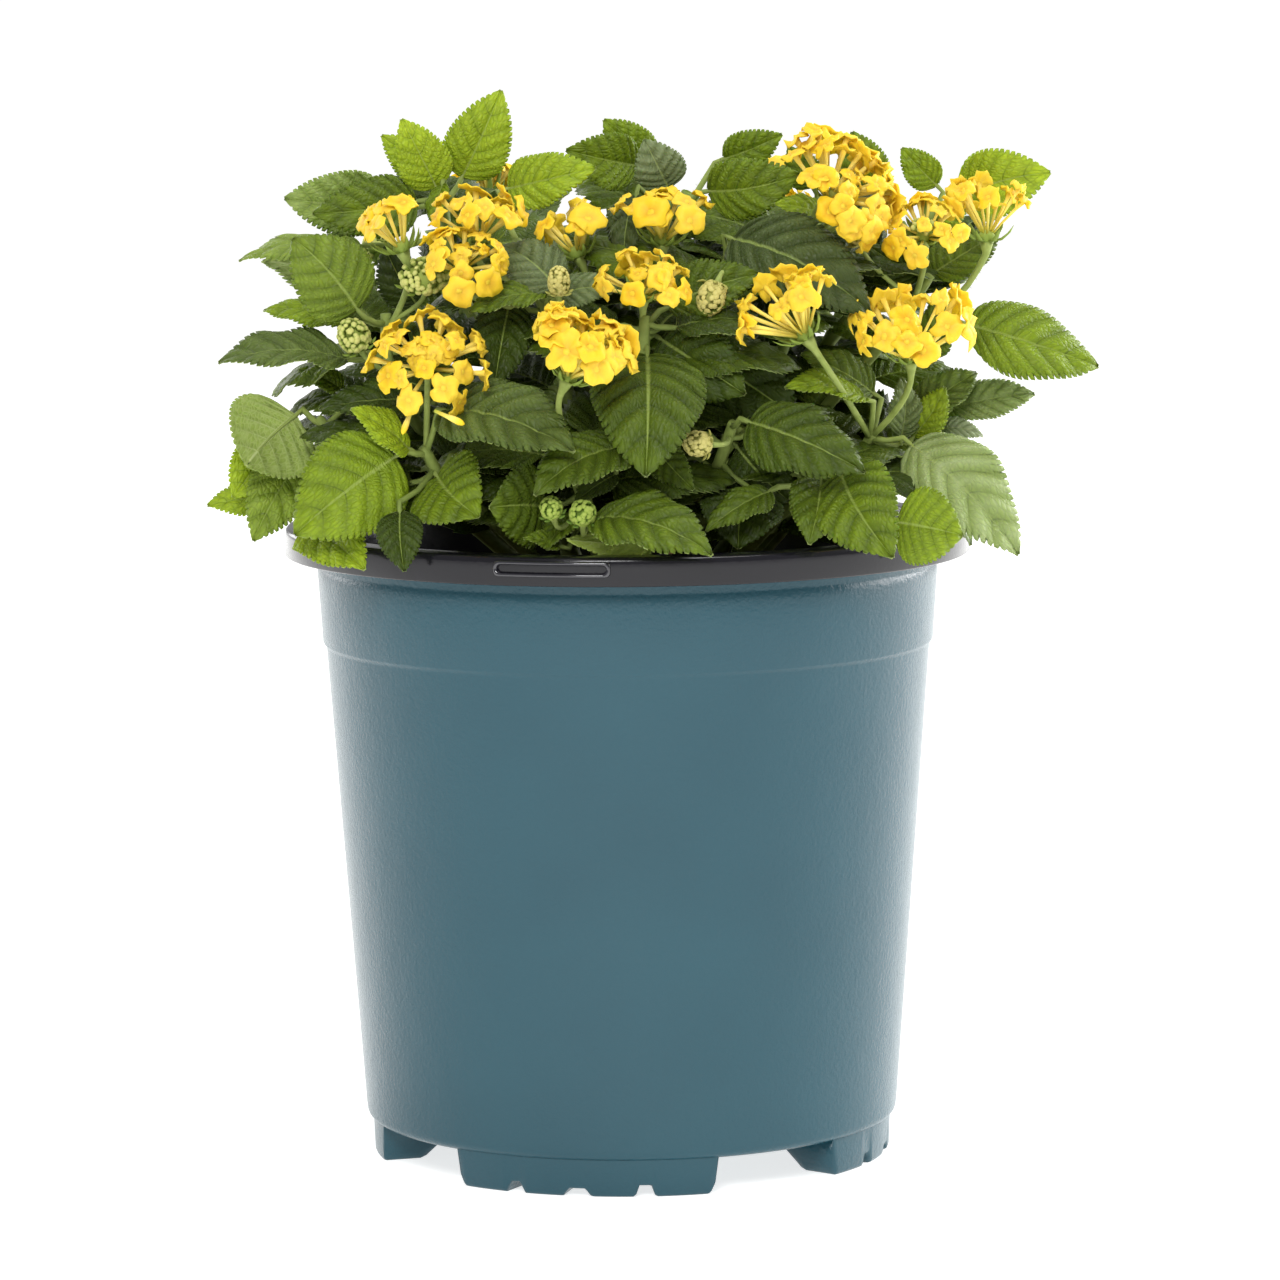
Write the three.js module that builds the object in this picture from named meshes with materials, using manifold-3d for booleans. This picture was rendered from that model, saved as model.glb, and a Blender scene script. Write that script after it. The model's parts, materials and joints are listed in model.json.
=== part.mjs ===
// A yellow-flowered lantana growing in its two-tone nursery pot.
// Millimetres, +Z up. Heights count from the surface that the pot's feet stand on.

import * as THREE from 'three';
import { mergeVertices } from 'three/addons/utils/BufferGeometryUtils.js';
import Module from 'manifold-3d';

const wasm = await Module();
wasm.setup();

// ---- Driving dimensions ----

const gap = 0.3; // left between pieces that touch
const seatGap = 0.32; // left between a flower head and the cup that carries it
const plantSpread = { left: 105.5, right: 118.5 }; // furthest leaf tips either side of the pot's axis

const pot = {
  rimRadius: 86,
  skirtBottom: 152,
  height: 159,
  rimRounding: 0.9,
  mouthRadius: 77.6,
  underRimRadius: 78.2,
  bandTopRadius: 77.9,
  bandTop: 148,
  bandFootRadius: 76.8,
  bandFoot: 129.9,
  bandStep: 0.9,
  baseRadius: 67.2,
  baseRounding: 2.5,
  wall: 1.5,
  skirtWall: 1.5,
  sides: 36,
};

const foot = {
  count: 4,
  first: -11, // degrees from the front, towards +X
  arc: 62,
  outerRadius: 65.7,
  innerRadius: 44,
  top: 9.8,
  draft: 2,
  corner: 3,
  notches: [
    { at: -17.2, width: 3, height: 2.2 },
    { at: -1.1, width: 4.5, height: 2.8 },
    { at: 16, width: 3, height: 2.2 },
  ],
};

const basePlate = { bottom: 9, thickness: 1.6, holeRadius: 4, holesAt: 58 };
const mix = { top: 142, shoulder: 3, crown: 1.8, sides: 18, relief: 1.6, clearance: 0.6 };
const stem = {
  baseRadius: 1.9,
  tipRadius: 1.2,
  depth: 14,
  collar: 3,
  clearance: 0.35,
  steps: 5,
  sockets: { from: 0.4, to: 0.98, count: 21 }, // where along it petioles and stalks may start
};
const petiole = { halfWidth: 0.75, depth: 1.2, keel: 0.3, knee: 2.5 };
const blade = { thickness: 0.7, arch: 0.09, fold: 0.12, leanest: 0.6, splay: 0.004 };
const bloomCup = { height: 3.4, topRadius: 2.1, neckRadius: 1, stalkRadius: 0.8 };
const budCup = { height: 2.2, topRadius: 1.2, neckRadius: 0.7, stalkRadius: 0.7 };
const floret = { throatRadius: 0.95, flare: 1.5, limbRadius: 4.2, notch: 0.74, dish: 0.4, shortShare: 0.86 };
const receptacle = { height: 4.4, radius: 2.3 };
const bud = { sunkShare: 0.82 }; // how far the head's surface lies in between the buds

// Leaves and heads are set out on the front elevation, as an eye at this distance and height sees it.
const eye = { distance: 1500, height: 308 };

// ---- The plant's layout ----

// Each shoot has a root (x, y at soil level) and a path of points [x, z, depth] on the elevation.
// A leaf row is base x, z, depth, then tip x, z, depth, then the width that it shows from the front.
const frontShoots = {
  low_left: {
    root: [-22, -8],
    path: [[-45, 163, -27], [-65, 173, -35], [-77.5, 186, -36]],
    leaves: [
      [-83, 186.5, -38, -95.5, 174, -48, 25],
      [-90, 178, -26, -99, 166, -32, 13],
      [-88, 166, -14, -105.5, 164, -18, 9],
      [-81, 176, -26, -94, 155, -36, 16],
      [-80, 158, -46, -66, 147.5, -67, 15],
    ],
  },
  front_left: {
    root: [-15, -26],
    path: [[-34, 160, -44], [-46, 170, -54], [-51, 178.5, -58]],
    leaves: [
      [-58, 176, -62, -83.5, 156.5, -67, 25],
      [-45, 187.5, -62, -13, 177, -84, 17],
      [-47.5, 171, -58, -37, 160.5, -72, 21],
      [-54.5, 178, -60, -69, 188, -68, 8],
      [-57, 162, -68, -56, 147, -74, 11],
    ],
  },
  left: {
    root: [-25, 6],
    path: [[-46, 175, -20], [-59, 197, -36], [-60, 212, -38]],
    leaves: [
      [-67, 213, -42, -83, 231, -38, 20],
      [-70, 200.5, -38, -102, 200, -44, 9],
      [-68, 211, -30, -90.5, 213, -26, 7],
      [-52, 190, -42, -77, 188, -46, 9],
      [-52, 214, -28, -60, 229, -24, 12],
    ],
  },
  top_left: {
    root: [-12, 12],
    path: [[-26, 185, 2], [-42, 220, -6], [-46, 243.5, -12]],
    leaves: [
      [-47, 243.5, -12, -55.5, 260.5, -14, 13],
      [-40.5, 246, -10, -30.5, 267.5, -12, 16],
      [-52, 240, -14, -78, 237, -22, 15],
      [-60, 240, -2, -85, 241, -4, 16],
      [-66, 229, -12, -96.5, 225.5, -14, 5],
      [-49, 245, -4, -60.5, 256.5, -6, 10],
    ],
  },
  upper_middle: {
    root: [-6, -12],
    path: [[-12, 180, -30], [-20, 212, -44], [-27, 230, -32]],
    leaves: [
      [-29, 243, -22, -7, 248, -30, 13],
      [-17, 218, -53, -31, 228.5, -37, 13],
      [-29, 214, -44, -33, 193, -56, 14],
      [-17, 216, -50, -1.5, 217.5, -54, 8],
    ],
  },
  centre: {
    root: [3, -21],
    path: [[4, 175, -46], [4.5, 200, -58], [5, 211, -58]],
    leaves: [
      [5.5, 201, -62, 5, 170.5, -86, 27],
      [9, 205, -52, 30, 191, -62, 20],
      [11, 213, -54, 34, 221, -60, 13],
      [8, 177, -58, 17, 167, -66, 9],
    ],
  },
  front_low: {
    root: [-5, -39],
    path: [[-9, 160, -56], [-13, 172, -62], [-14, 180, -66]],
    leaves: [
      [-8, 160, -76, 21.5, 150.5, -91, 14],
      [0, 178, -70, -23, 166, -84, 13],
      [-21, 163, -58, -34.5, 163, -72, 21],
    ],
  },
  top_middle: {
    root: [4, 7],
    path: [[8, 190, -2], [13, 224, -13], [13, 239, -14]],
    leaves: [
      [3, 248.5, -10, -14.5, 252.5, -16, 14],
      [11, 243, -18, 5, 255, -22, 13],
      [21, 242, -22, 44, 246, -28, 15],
      [3, 241, -26, 0, 224.5, -34, 10],
      [6, 249, -4, -5, 260, -6, 12],
      [25, 250, -6, 39.5, 256, -8, 10],
    ],
  },
  middle_right: {
    root: [12, -10],
    path: [[20, 185, -28], [26, 212, -38], [26, 228, -36]],
    leaves: [
      [27, 230, -38, 61.5, 211, -50, 20],
      [20, 200, -36, 44, 184, -44, 18],
    ],
  },
  upper_right: {
    root: [16, 4],
    path: [[34, 190, -12], [46, 220, -22], [48, 233, -24]],
    leaves: [
      [47, 243, -12, 41, 253, -14, 9],
      [62, 242, -14, 57, 256.5, -12, 13],
    ],
  },
  low_right: {
    root: [14, -25],
    path: [[20, 165, -42], [25, 178, -52], [27, 184, -56]],
    leaves: [
      [31, 184, -64, 60, 171, -76, 17],
      [28, 177.5, -48, 41, 164, -46, 16],
      [30, 166, -54, 28, 152, -66, 20],
    ],
  },
  front_right: {
    root: [22, -17],
    path: [[38, 160, -36], [47, 168, -48], [51, 173, -54]],
    leaves: [
      [54, 171, -66, 67, 149.5, -84, 21],
      [49, 170, -64, 46, 153, -80, 14],
      [68, 158.5, -58, 84.5, 155, -56, 19],
    ],
  },
  right: {
    root: [25, -5],
    path: [[44, 164, -22], [57, 174, -31], [62, 181, -36]],
    leaves: [
      [71.5, 178, -36, 98.5, 150, -42, 19],
      [62, 191, -34, 44, 201, -36, 9],
      [74, 170, -26, 86.5, 152.5, -33, 7],
      [69, 180, -30, 69, 195, -26, 8],
      [72, 180, -28, 80, 192.5, -24, 9],
    ],
  },
  top_right: {
    root: [20, 13],
    path: [[48, 185, -8], [68, 208, -18], [76.5, 220.5, -22]],
    leaves: [
      [86, 208, -20, 118.5, 197.3, -14, 17],
      [77, 221, -18, 93.5, 231, -10, 11],
      [74, 220, -20, 61, 228, -18, 9],
      [76, 200, -24, 84, 217, -20, 10],
    ],
  },
  far_right: {
    root: [29, 6],
    path: [[50, 168, -4], [64, 178, -12], [73, 183, -16]],
    leaves: [
      [82, 187, -16, 102.5, 190.5, -14, 10],
      [73, 186, -22, 88, 196, -16, 10],
    ],
  },
  outer_right: {
    root: [12, 17],
    path: [[44, 195, 4], [66, 222, 0], [78, 237, -6]],
    leaves: [
      [84, 240, -8, 106.5, 246, -12, 17],
      [78, 243, -4, 69.3, 252.3, -2, 9],
    ],
  },
};

// The shoots of the far half follow one rule: azimuth in degrees from +X through the back,
// reach and height of the tip, and how far its upper pair of leaves is turned about the stem.
const backShoots = {
  back_1: { azimuth: 24, reach: 62, height: 214, turn: 40 },
  back_2: { azimuth: 58, reach: 60, height: 225, turn: -35 },
  back_3: { azimuth: 90, reach: 64, height: 218, turn: 55 },
  back_4: { azimuth: 122, reach: 58, height: 227, turn: 35 },
  back_5: { azimuth: 156, reach: 64, height: 214, turn: -40 },
};

const backRule = { // opposite leaves at two steps up a far shoot
  steps: [0.6, 0.95],
  spread: [52, 88], // degrees either side of the shoot's own way out
  lift: [0.05, 0.5],
  leafLength: 33,
  leafWidth: 22,
  petiole: 9,
  droop: 5,
  rootShare: 0.48,
  route: [[0.58, 0.35], [0.85, 0.75], [1, 1]], // shares of the reach and of the rise above the soil
};

// A head row is its shoot, the x, z and depth of the cup that carries it, the way it faces,
// its cone's half angle, the length of its florets and how many they are.
const blooms = {
  bloom_1: ['left', [-55.5, 227.5, -44], [-0.3, -0.2, 1], 55, 12.5, 8],
  bloom_2: ['front_left', [-49.5, 198, -64], [0.05, -0.75, 0.65], 92, 13, 14],
  bloom_3: ['upper_middle', [-36.5, 229.5, -40], [0.1, -0.25, 1], 55, 12, 9],
  bloom_4: ['upper_middle', [-41, 222.5, -52], [0, -0.85, 0.45], 80, 9.5, 8],
  bloom_5: ['upper_middle', [-11.5, 226, -36], [-0.4, -0.25, 1], 50, 11, 6],
  bloom_6: ['centre', [4.5, 215.5, -60], [0, -0.6, 0.8], 80, 10.5, 10],
  bloom_7: ['top_middle', [9.5, 229, -36], [0.05, -0.35, 1], 55, 12.5, 9],
  bloom_8: ['front_low', [-14.5, 195, -80], [0.4, -0.45, 0.75], 85, 12.5, 13],
  bloom_9: ['right', [45.5, 205, -62], [-0.45, -0.35, 0.75], 58, 16, 10],
  bloom_10: ['upper_right', [51, 239.5, -36], [0.4, -0.6, 0.6], 92, 13.5, 14],
  bloom_11: ['top_right', [75, 230, -34], [-0.15, -0.85, 0.45], 82, 9.5, 9],
  bloom_12: ['top_right', [90.5, 229, -24], [0.1, -0.15, 1], 36, 15, 8],
  bloom_13: ['right', [71.5, 199, -50], [-0.05, -0.5, 0.85], 88, 13, 11],
  bloom_14: ['back_2', null, [0.3, 0.5, 0.8], 80, 12, 9],
  bloom_15: ['back_3', null, [-0.1, 0.6, 0.8], 75, 12.5, 9],
  bloom_16: ['back_4', null, [-0.35, 0.5, 0.8], 80, 12, 9],
};

// A bud head row is its shoot, its cup's place, the way it faces, its half width and its height.
const budHeads = {
  buds_1: ['left', [-50, 219.5, -46], [0, -0.5, 0.85], 5.6, 4.6],
  buds_2: ['left', [-66.5, 203.5, -44], [-0.4, -0.4, 0.8], 3.5, 6.4],
  buds_3: ['upper_middle', [-16.5, 217, -58], [0, -0.4, 0.9], 2.2, 5.8],
  buds_4: ['middle_right', [23, 218.5, -46], [-0.35, -0.3, -0.85], 2.6, 7.2],
  buds_5: ['low_right', [20.5, 178.5, -68], [-0.9, -0.4, 0.1], 2.7, 5],
  buds_6: ['top_right', [58.5, 229, -32], [-0.4, -0.3, 0.85], 2.4, 4.6],
  buds_7: ['front_low', [-11, 159.5, -79], [0, -0.5, 0.85], 2.9, 4.8],
  buds_8: ['front_low', [-18.5, 161, -78], [-0.2, -0.5, 0.85], 2.5, 4.4],
  buds_9: ['back_5', null, [-0.3, 0.6, 0.75], 3.3, 6],
};

// ---- Solids ----

function bareCopy(geometry) {
  const bare = new THREE.BufferGeometry();
  bare.setAttribute('position', geometry.getAttribute('position').clone());
  if (geometry.index) bare.setIndex(geometry.index.clone());
  return bare;
}

// Turns a closed geometry into a solid, with its shared corners merged and slivers left out.
function toSolid(geometry) {
  const merged = mergeVertices(bareCopy(geometry), 1e-4);
  const corners = merged.index.array;
  const kept = [];
  for (let i = 0; i < corners.length; i += 3) {
    const [a, b, c] = [corners[i], corners[i + 1], corners[i + 2]];
    if (a !== b && b !== c && c !== a) kept.push(a, b, c);
  }
  return new wasm.Manifold(new wasm.Mesh({
    numProp: 3,
    vertProperties: new Float32Array(merged.getAttribute('position').array),
    triVerts: new Uint32Array(kept),
  }));
}

function toGeometry(solid) {
  const mesh = solid.getMesh();
  const geometry = new THREE.BufferGeometry();
  geometry.setAttribute('position', new THREE.BufferAttribute(mesh.vertProperties, 3));
  geometry.setIndex(new THREE.BufferAttribute(mesh.triVerts, 1));
  geometry.computeVertexNormals();
  return geometry;
}

function fromTriangles(points, triangles) {
  const geometry = new THREE.BufferGeometry().setFromPoints(points);
  geometry.setIndex(triangles);
  return geometry;
}

const join = (solids) => solids.reduce((whole, next) => whole.add(next));

function boxesMeet(a, b) {
  const [first, second] = [a.boundingBox(), b.boundingBox()];
  return [0, 1, 2].every((i) => first.min[i] <= second.max[i] && second.min[i] <= first.max[i]);
}

function largestPiece(solid) {
  const pieces = solid.decompose();
  return pieces.reduce((best, piece) => (piece.volume() > best.volume() ? piece : best));
}

// Cuts a solid back from its neighbours and keeps the main piece.
function clearOf(solid, neighbours) {
  const trimmed = neighbours
    .filter((neighbour) => boxesMeet(solid, neighbour))
    .reduce((rest, neighbour) => rest.subtract(neighbour), solid);
  return largestPiece(trimmed);
}

// Extrudes an outline drawn in x and z along the way out from the pot's axis.
function radialPrism(shape, fromRadius, toRadius, angle) {
  const geometry = new THREE.ExtrudeGeometry(shape, {
    depth: toRadius - fromRadius,
    bevelEnabled: false,
    curveSegments: 2,
  });
  geometry.rotateX(Math.PI / 2);
  geometry.translate(0, -fromRadius, 0);
  geometry.rotateZ(THREE.MathUtils.degToRad(angle));
  return toSolid(geometry);
}

function turned(profile, sides) {
  const geometry = new THREE.LatheGeometry(profile.map(([r, z]) => new THREE.Vector2(r, z)), sides);
  geometry.rotateX(Math.PI / 2);
  return toSolid(geometry);
}

// ---- Pot ----

function potShell() {
  const plateTop = basePlate.bottom + basePlate.thickness;
  const innerFoot = pot.baseRadius - pot.wall;
  return turned([
    [0, basePlate.bottom],
    [pot.baseRadius - pot.baseRounding, basePlate.bottom],
    [pot.baseRadius, basePlate.bottom + pot.baseRounding],
    [pot.bandFootRadius - pot.bandStep, pot.bandFoot - pot.bandStep],
    [pot.bandFootRadius, pot.bandFoot],
    [pot.bandTopRadius, pot.bandTop],
    [pot.underRimRadius, pot.height - pot.skirtWall],
    [pot.rimRadius - pot.skirtWall, pot.height - pot.skirtWall],
    [pot.rimRadius - pot.skirtWall, pot.skirtBottom],
    [pot.rimRadius, pot.skirtBottom],
    [pot.rimRadius, pot.height - pot.rimRounding],
    [pot.rimRadius - pot.rimRounding, pot.height],
    [pot.mouthRadius, pot.height],
    [pot.bandFootRadius - pot.wall, pot.bandFoot],
    [innerFoot, plateTop + pot.baseRounding],
    [innerFoot - pot.baseRounding, plateTop],
    [0, plateTop],
    [0, basePlate.bottom],
  ], pot.sides);
}

// The front of a foot: drafted sides, rounded lower corners and three notches in its lower edge.
function footOutline() {
  const halfWidth = foot.outerRadius * Math.sin(THREE.MathUtils.degToRad(foot.arc / 2));
  const lower = halfWidth - foot.draft;
  const shape = new THREE.Shape();
  shape.moveTo(-halfWidth, foot.top);
  shape.lineTo(-lower, foot.corner);
  shape.absarc(foot.corner - lower, foot.corner, foot.corner, Math.PI, 1.5 * Math.PI);
  for (const notch of foot.notches) {
    shape.lineTo(notch.at - notch.width / 2, 0);
    shape.lineTo(notch.at - notch.width / 3, notch.height);
    shape.lineTo(notch.at + notch.width / 3, notch.height);
    shape.lineTo(notch.at + notch.width / 2, 0);
  }
  shape.absarc(lower - foot.corner, foot.corner, foot.corner, 1.5 * Math.PI, 2 * Math.PI);
  shape.lineTo(halfWidth, foot.top);
  return shape;
}

function potFoot(angle) {
  const ring = turned([
    [foot.innerRadius, 0],
    [foot.outerRadius - 0.4, 0],
    [foot.outerRadius, foot.top],
    [foot.innerRadius, foot.top],
    [foot.innerRadius, 0],
  ], pot.sides);
  return ring.intersect(radialPrism(footOutline(), foot.innerRadius / 2, pot.baseRadius, angle));
}

function potSolid() {
  const angles = Array.from({ length: foot.count }, (_, i) => foot.first + (360 / foot.count) * i);
  const whole = join([potShell(), ...angles.map(potFoot)]);
  const drains = angles.map((angle) => {
    const drain = new THREE.CylinderGeometry(basePlate.holeRadius, basePlate.holeRadius, 6, 8);
    drain.rotateX(Math.PI / 2);
    drain.translate(0, -basePlate.holesAt, basePlate.bottom + basePlate.thickness / 2);
    drain.rotateZ(THREE.MathUtils.degToRad(angle + 180 / foot.count));
    return toSolid(drain);
  });
  return whole.subtract(join(drains));
}

// ---- Potting mix ----

// A full-depth plug of bark and peat, with a crumbled top and a square hole for each stem.
function mixSolid(holes) {
  const plateTop = basePlate.bottom + basePlate.thickness;
  const bandEdge = pot.bandFootRadius - pot.wall - mix.clearance;
  const lowEdge = pot.baseRadius - pot.wall - mix.clearance;
  const topEdge = bandEdge + (pot.bandTopRadius - pot.bandFootRadius) / 3;
  const geometry = new THREE.LatheGeometry([
    new THREE.Vector2(0, plateTop + gap),
    new THREE.Vector2(lowEdge - pot.baseRounding, plateTop + gap),
    new THREE.Vector2(lowEdge, plateTop + gap + pot.baseRounding),
    new THREE.Vector2(bandEdge, pot.bandFoot),
    new THREE.Vector2(topEdge, mix.top - mix.shoulder),
    new THREE.Vector2(0.84 * topEdge, mix.top),
    new THREE.Vector2(0.5 * topEdge, mix.top + mix.crown / 2),
    new THREE.Vector2(0, mix.top + mix.crown),
  ], mix.sides);
  geometry.rotateX(Math.PI / 2);
  const place = geometry.getAttribute('position');
  for (let i = 0; i < place.count; i += 1) {
    const [x, y, z] = [place.getX(i), place.getY(i), place.getZ(i)];
    const onTop = z > mix.top - 1 && Math.hypot(x, y) > 1;
    if (onTop) place.setZ(i, z + mix.relief * Math.sin(x * 0.31 + 1) * Math.cos(y * 0.27));
  }
  return toSolid(geometry).subtract(join(holes));
}

// ---- Stems and stalks ----

// A closed tube through points, with a radius at each of them.
function tube(points, radii, sides) {
  const corners = [];
  const triangles = [];
  const normal = new THREE.Vector3(1, 0.2, 0.1);
  points.forEach((centre, i) => {
    const [before, after] = [points[Math.max(0, i - 1)], points[Math.min(points.length - 1, i + 1)]];
    const tangent = after.clone().sub(before).normalize();
    normal.addScaledVector(tangent, -normal.dot(tangent)).normalize();
    const binormal = tangent.clone().cross(normal);
    for (let k = 0; k < sides; k += 1) {
      const angle = (2 * Math.PI * k) / sides;
      corners.push(centre.clone()
        .addScaledVector(normal, radii[i] * Math.cos(angle))
        .addScaledVector(binormal, radii[i] * Math.sin(angle)));
    }
  });
  const last = (points.length - 1) * sides;
  for (let i = 0; i < last; i += sides) {
    for (let k = 0; k < sides; k += 1) {
      const [a, b] = [i + k, i + ((k + 1) % sides)];
      triangles.push(a, b, b + sides, a, b + sides, a + sides);
    }
  }
  for (let k = 1; k < sides - 1; k += 1) {
    triangles.push(0, k + 1, k, last, last + k, last + k + 1);
  }
  return toSolid(fromTriangles(corners, triangles));
}

// A point of the plant from where it shows on the elevation and its depth.
function onView([x, z, depth]) {
  const nearness = (depth + eye.distance) / eye.distance;
  return new THREE.Vector3(x * nearness, depth, eye.height + (z - eye.height) * nearness);
}

// A stem stands upright in the soil and then runs as a smooth line through the points of its path.
function stemLine([x, y], points) {
  const collar = new THREE.Vector3(x, y, mix.top + stem.collar);
  const curve = new THREE.CatmullRomCurve3([collar, ...points]);
  return [new THREE.Vector3(x, y, mix.top - stem.depth), ...curve.getPoints(stem.steps - 1)];
}

function alongLine(line, share) {
  const step = Math.min(line.length - 2, Math.floor(share * (line.length - 1)));
  return line[step].clone().lerp(line[step + 1], share * (line.length - 1) - step);
}

function stemSolid(line, grow) {
  const radii = line.map((_, i) => (
    THREE.MathUtils.lerp(stem.baseRadius, stem.tipRadius, i / stem.steps) + grow
  ));
  return tube(line, radii, 4);
}

function nearestOnLine(line, target) {
  const { from, to, count } = stem.sockets;
  const samples = Array.from({ length: count }, (_, i) => (
    alongLine(line, THREE.MathUtils.lerp(from, to, i / (count - 1)))
  ));
  return samples.reduce((best, p) => (p.distanceTo(target) < best.distanceTo(target) ? p : best));
}

// A stalk leaves the stem at its nearest point and widens into the cup along the head's own axis.
function stalk(line, head, grow) {
  const neck = head.place.clone().addScaledVector(head.way, -head.cup.height);
  const start = nearestOnLine(line, neck);
  const bend = neck.clone().addScaledVector(head.way, -0.4 * neck.distanceTo(start));
  const curve = new THREE.QuadraticBezierCurve3(start, bend, neck);
  const top = head.place.clone().addScaledVector(head.way, grow);
  const radii = [head.cup.stalkRadius, head.cup.stalkRadius, head.cup.neckRadius, head.cup.topRadius];
  return tube([start, curve.getPoint(0.6), neck, top], radii.map((radius) => radius + grow), 3);
}

// ---- Leaves ----

// Half width along an ovate blade, 0 at its base and 1 at its tip.
const ovate = (t) => 2.36 * t ** 0.45 * (1 - t) ** 0.9;

// The direction that a blade's upper face looks in, from the width that it shows to the front.
function facingFromWidth(base, tip, shown, width) {
  const along = tip.clone().sub(base).normalize();
  const toEye = new THREE.Vector3(0, -eye.distance, eye.height).sub(base).normalize();
  const facing = toEye.addScaledVector(along, -toEye.dot(along)).normalize();
  const aside = facing.clone().cross(along);
  const outward = new THREE.Vector3(blade.splay * base.x, 0, 1);
  if (aside.dot(outward) < 0) aside.negate();
  const turn = Math.acos(Math.min(1, shown / width));
  return facing.multiplyScalar(Math.cos(turn)).addScaledVector(aside, Math.sin(turn));
}

// A toothed blade, arched along its midrib and folded up a little on both sides of it, with the
// petiole that runs back from its base into the stem.
function leafSolid(leaf, grow) {
  const along = leaf.tip.clone().sub(leaf.base);
  const length = along.length();
  along.normalize();
  const up = leaf.facing.clone().addScaledVector(along, -leaf.facing.dot(along)).normalize();
  const side = along.clone().cross(up);
  const half = blade.thickness / 2 + grow;
  const at = (t, across) => leaf.base.clone()
    .addScaledVector(along, length * t + (t === 1 ? grow : 0))
    .addScaledVector(up, half + length * blade.arch * 4 * t * (1 - t) + blade.fold * Math.abs(across))
    .addScaledVector(side, across);

  // Both margins as [share of the length, half width], and the midrib's points up to the tip.
  const margin = [[0, petiole.halfWidth + grow]];
  for (let i = 0; i < leaf.teeth; i += 1) {
    for (const [step, stretch] of [[0.08, 0.9], [0.74, 1.08]]) {
      const t = 0.02 + (0.94 * (i + step)) / leaf.teeth;
      margin.push([t, (leaf.width / 2) * ovate(t) * stretch + grow]);
    }
  }
  const rib = [0.5, 1];
  const upper = [
    ...rib.map((t) => at(t, 0)),
    ...margin.map(([t, w]) => at(t, w)),
    ...margin.map(([t, w]) => at(t, -w)),
  ];
  const points = [...upper, ...upper.map((p) => p.clone().addScaledVector(up, -2 * half))];
  const right = (j) => rib.length + j;
  const left = (j) => rib.length + margin.length + j;
  const keel = upper.length + right(0); // the petiole's lower corner, shared by both halves
  points[keel] = at(0, 0).addScaledVector(up, -2 * half - petiole.keel);

  const faces = [[left(0), right(0), 0]];
  margin.slice(1).forEach(([t], j) => {
    const hub = t > 0.6 ? 1 : 0;
    const before = margin[j][0] > 0.6 ? 1 : 0;
    if (hub !== before) faces.push([0, right(j), 1], [1, left(j), 0]);
    faces.push([hub, right(j), right(j + 1)], [left(j + 1), left(j), hub]);
  });
  const under = (k) => (k === left(0) ? keel : upper.length + k);
  const triangles = faces.flatMap(([a, b, c], k) => (
    k ? [a, b, c, under(a), under(c), under(b)] : [a, b, c]
  ));
  const rim = [...margin.map((_, k) => right(k)), 1, ...margin.map((_, k) => left(k)).reverse()];
  rim.slice(1).forEach((b, k) => {
    const a = rim[k];
    triangles.push(under(a), under(b), b, under(a), b, a);
  });

  const start = nearestOnLine(leaf.stem, leaf.base);
  const knee = leaf.base.clone().addScaledVector(along, -petiole.knee);
  const back = knee.clone().sub(start).normalize();
  let ring = [right(0), left(0), keel];
  for (const [centre, forward] of [[knee, back.clone().add(along).normalize()], [start, back]]) {
    const across = side.clone().addScaledVector(forward, -side.dot(forward)).normalize();
    const rise = across.clone().cross(forward).multiplyScalar(petiole.depth / 2 + grow);
    across.multiplyScalar(petiole.halfWidth + grow);
    const first = points.length;
    points.push(centre.clone().add(across).add(rise), centre.clone().sub(across).add(rise));
    points.push(centre.clone().addScaledVector(rise, -1.4));
    const next = [first, first + 1, first + 2];
    ring.forEach((a, k) => {
      const turned = (k + 1) % 3;
      triangles.push(a, ring[turned], next[turned], a, next[turned], next[k]);
    });
    ring = next;
  }
  triangles.push(...ring);
  return toSolid(fromTriangles(points, triangles));
}

function teethFor(length) {
  return length > 28 ? 4 : 3;
}

function frontLeaf(row, stemOfLeaf) {
  const [base, tip] = [onView(row.slice(0, 3)), onView(row.slice(3, 6))];
  const length = base.distanceTo(tip);
  const shown = row[6];
  const width = Math.max(shown, blade.leanest * length);
  const facing = facingFromWidth(base, tip, shown, width);
  return { stem: stemOfLeaf, base, tip, width, teeth: teethFor(length), facing };
}

// Opposite leaves at each step up a far shoot, the upper pair turned about the stem.
function backLeaves(shoot, line) {
  const outward = new THREE.Vector3(Math.cos(shoot.angle), Math.sin(shoot.angle), 0);
  return backRule.steps.flatMap((step, pair) => [1, -1].map((side) => {
    const swing = THREE.MathUtils.degToRad(side * backRule.spread[pair] + pair * shoot.turn);
    const away = outward.clone().applyAxisAngle(new THREE.Vector3(0, 0, 1), swing);
    away.z = backRule.lift[pair];
    away.normalize();
    const base = alongLine(line, step).addScaledVector(away, backRule.petiole);
    const tip = base.clone().addScaledVector(away, backRule.leafLength);
    tip.z -= backRule.droop;
    const facing = outward.clone().multiplyScalar(0.5);
    facing.z = 1;
    return { stem: line, base, tip, width: backRule.leafWidth, teeth: 3, facing };
  }));
}

// ---- Flowers ----

// Stands an icosahedral form on one of its corners.
function standOnCorner(geometry) {
  const lowest = new THREE.Vector3(0, 1, (1 + Math.sqrt(5)) / 2).normalize();
  const down = new THREE.Vector3(0, -1, 0);
  return geometry.applyQuaternion(new THREE.Quaternion().setFromUnitVectors(lowest, down));
}

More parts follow.
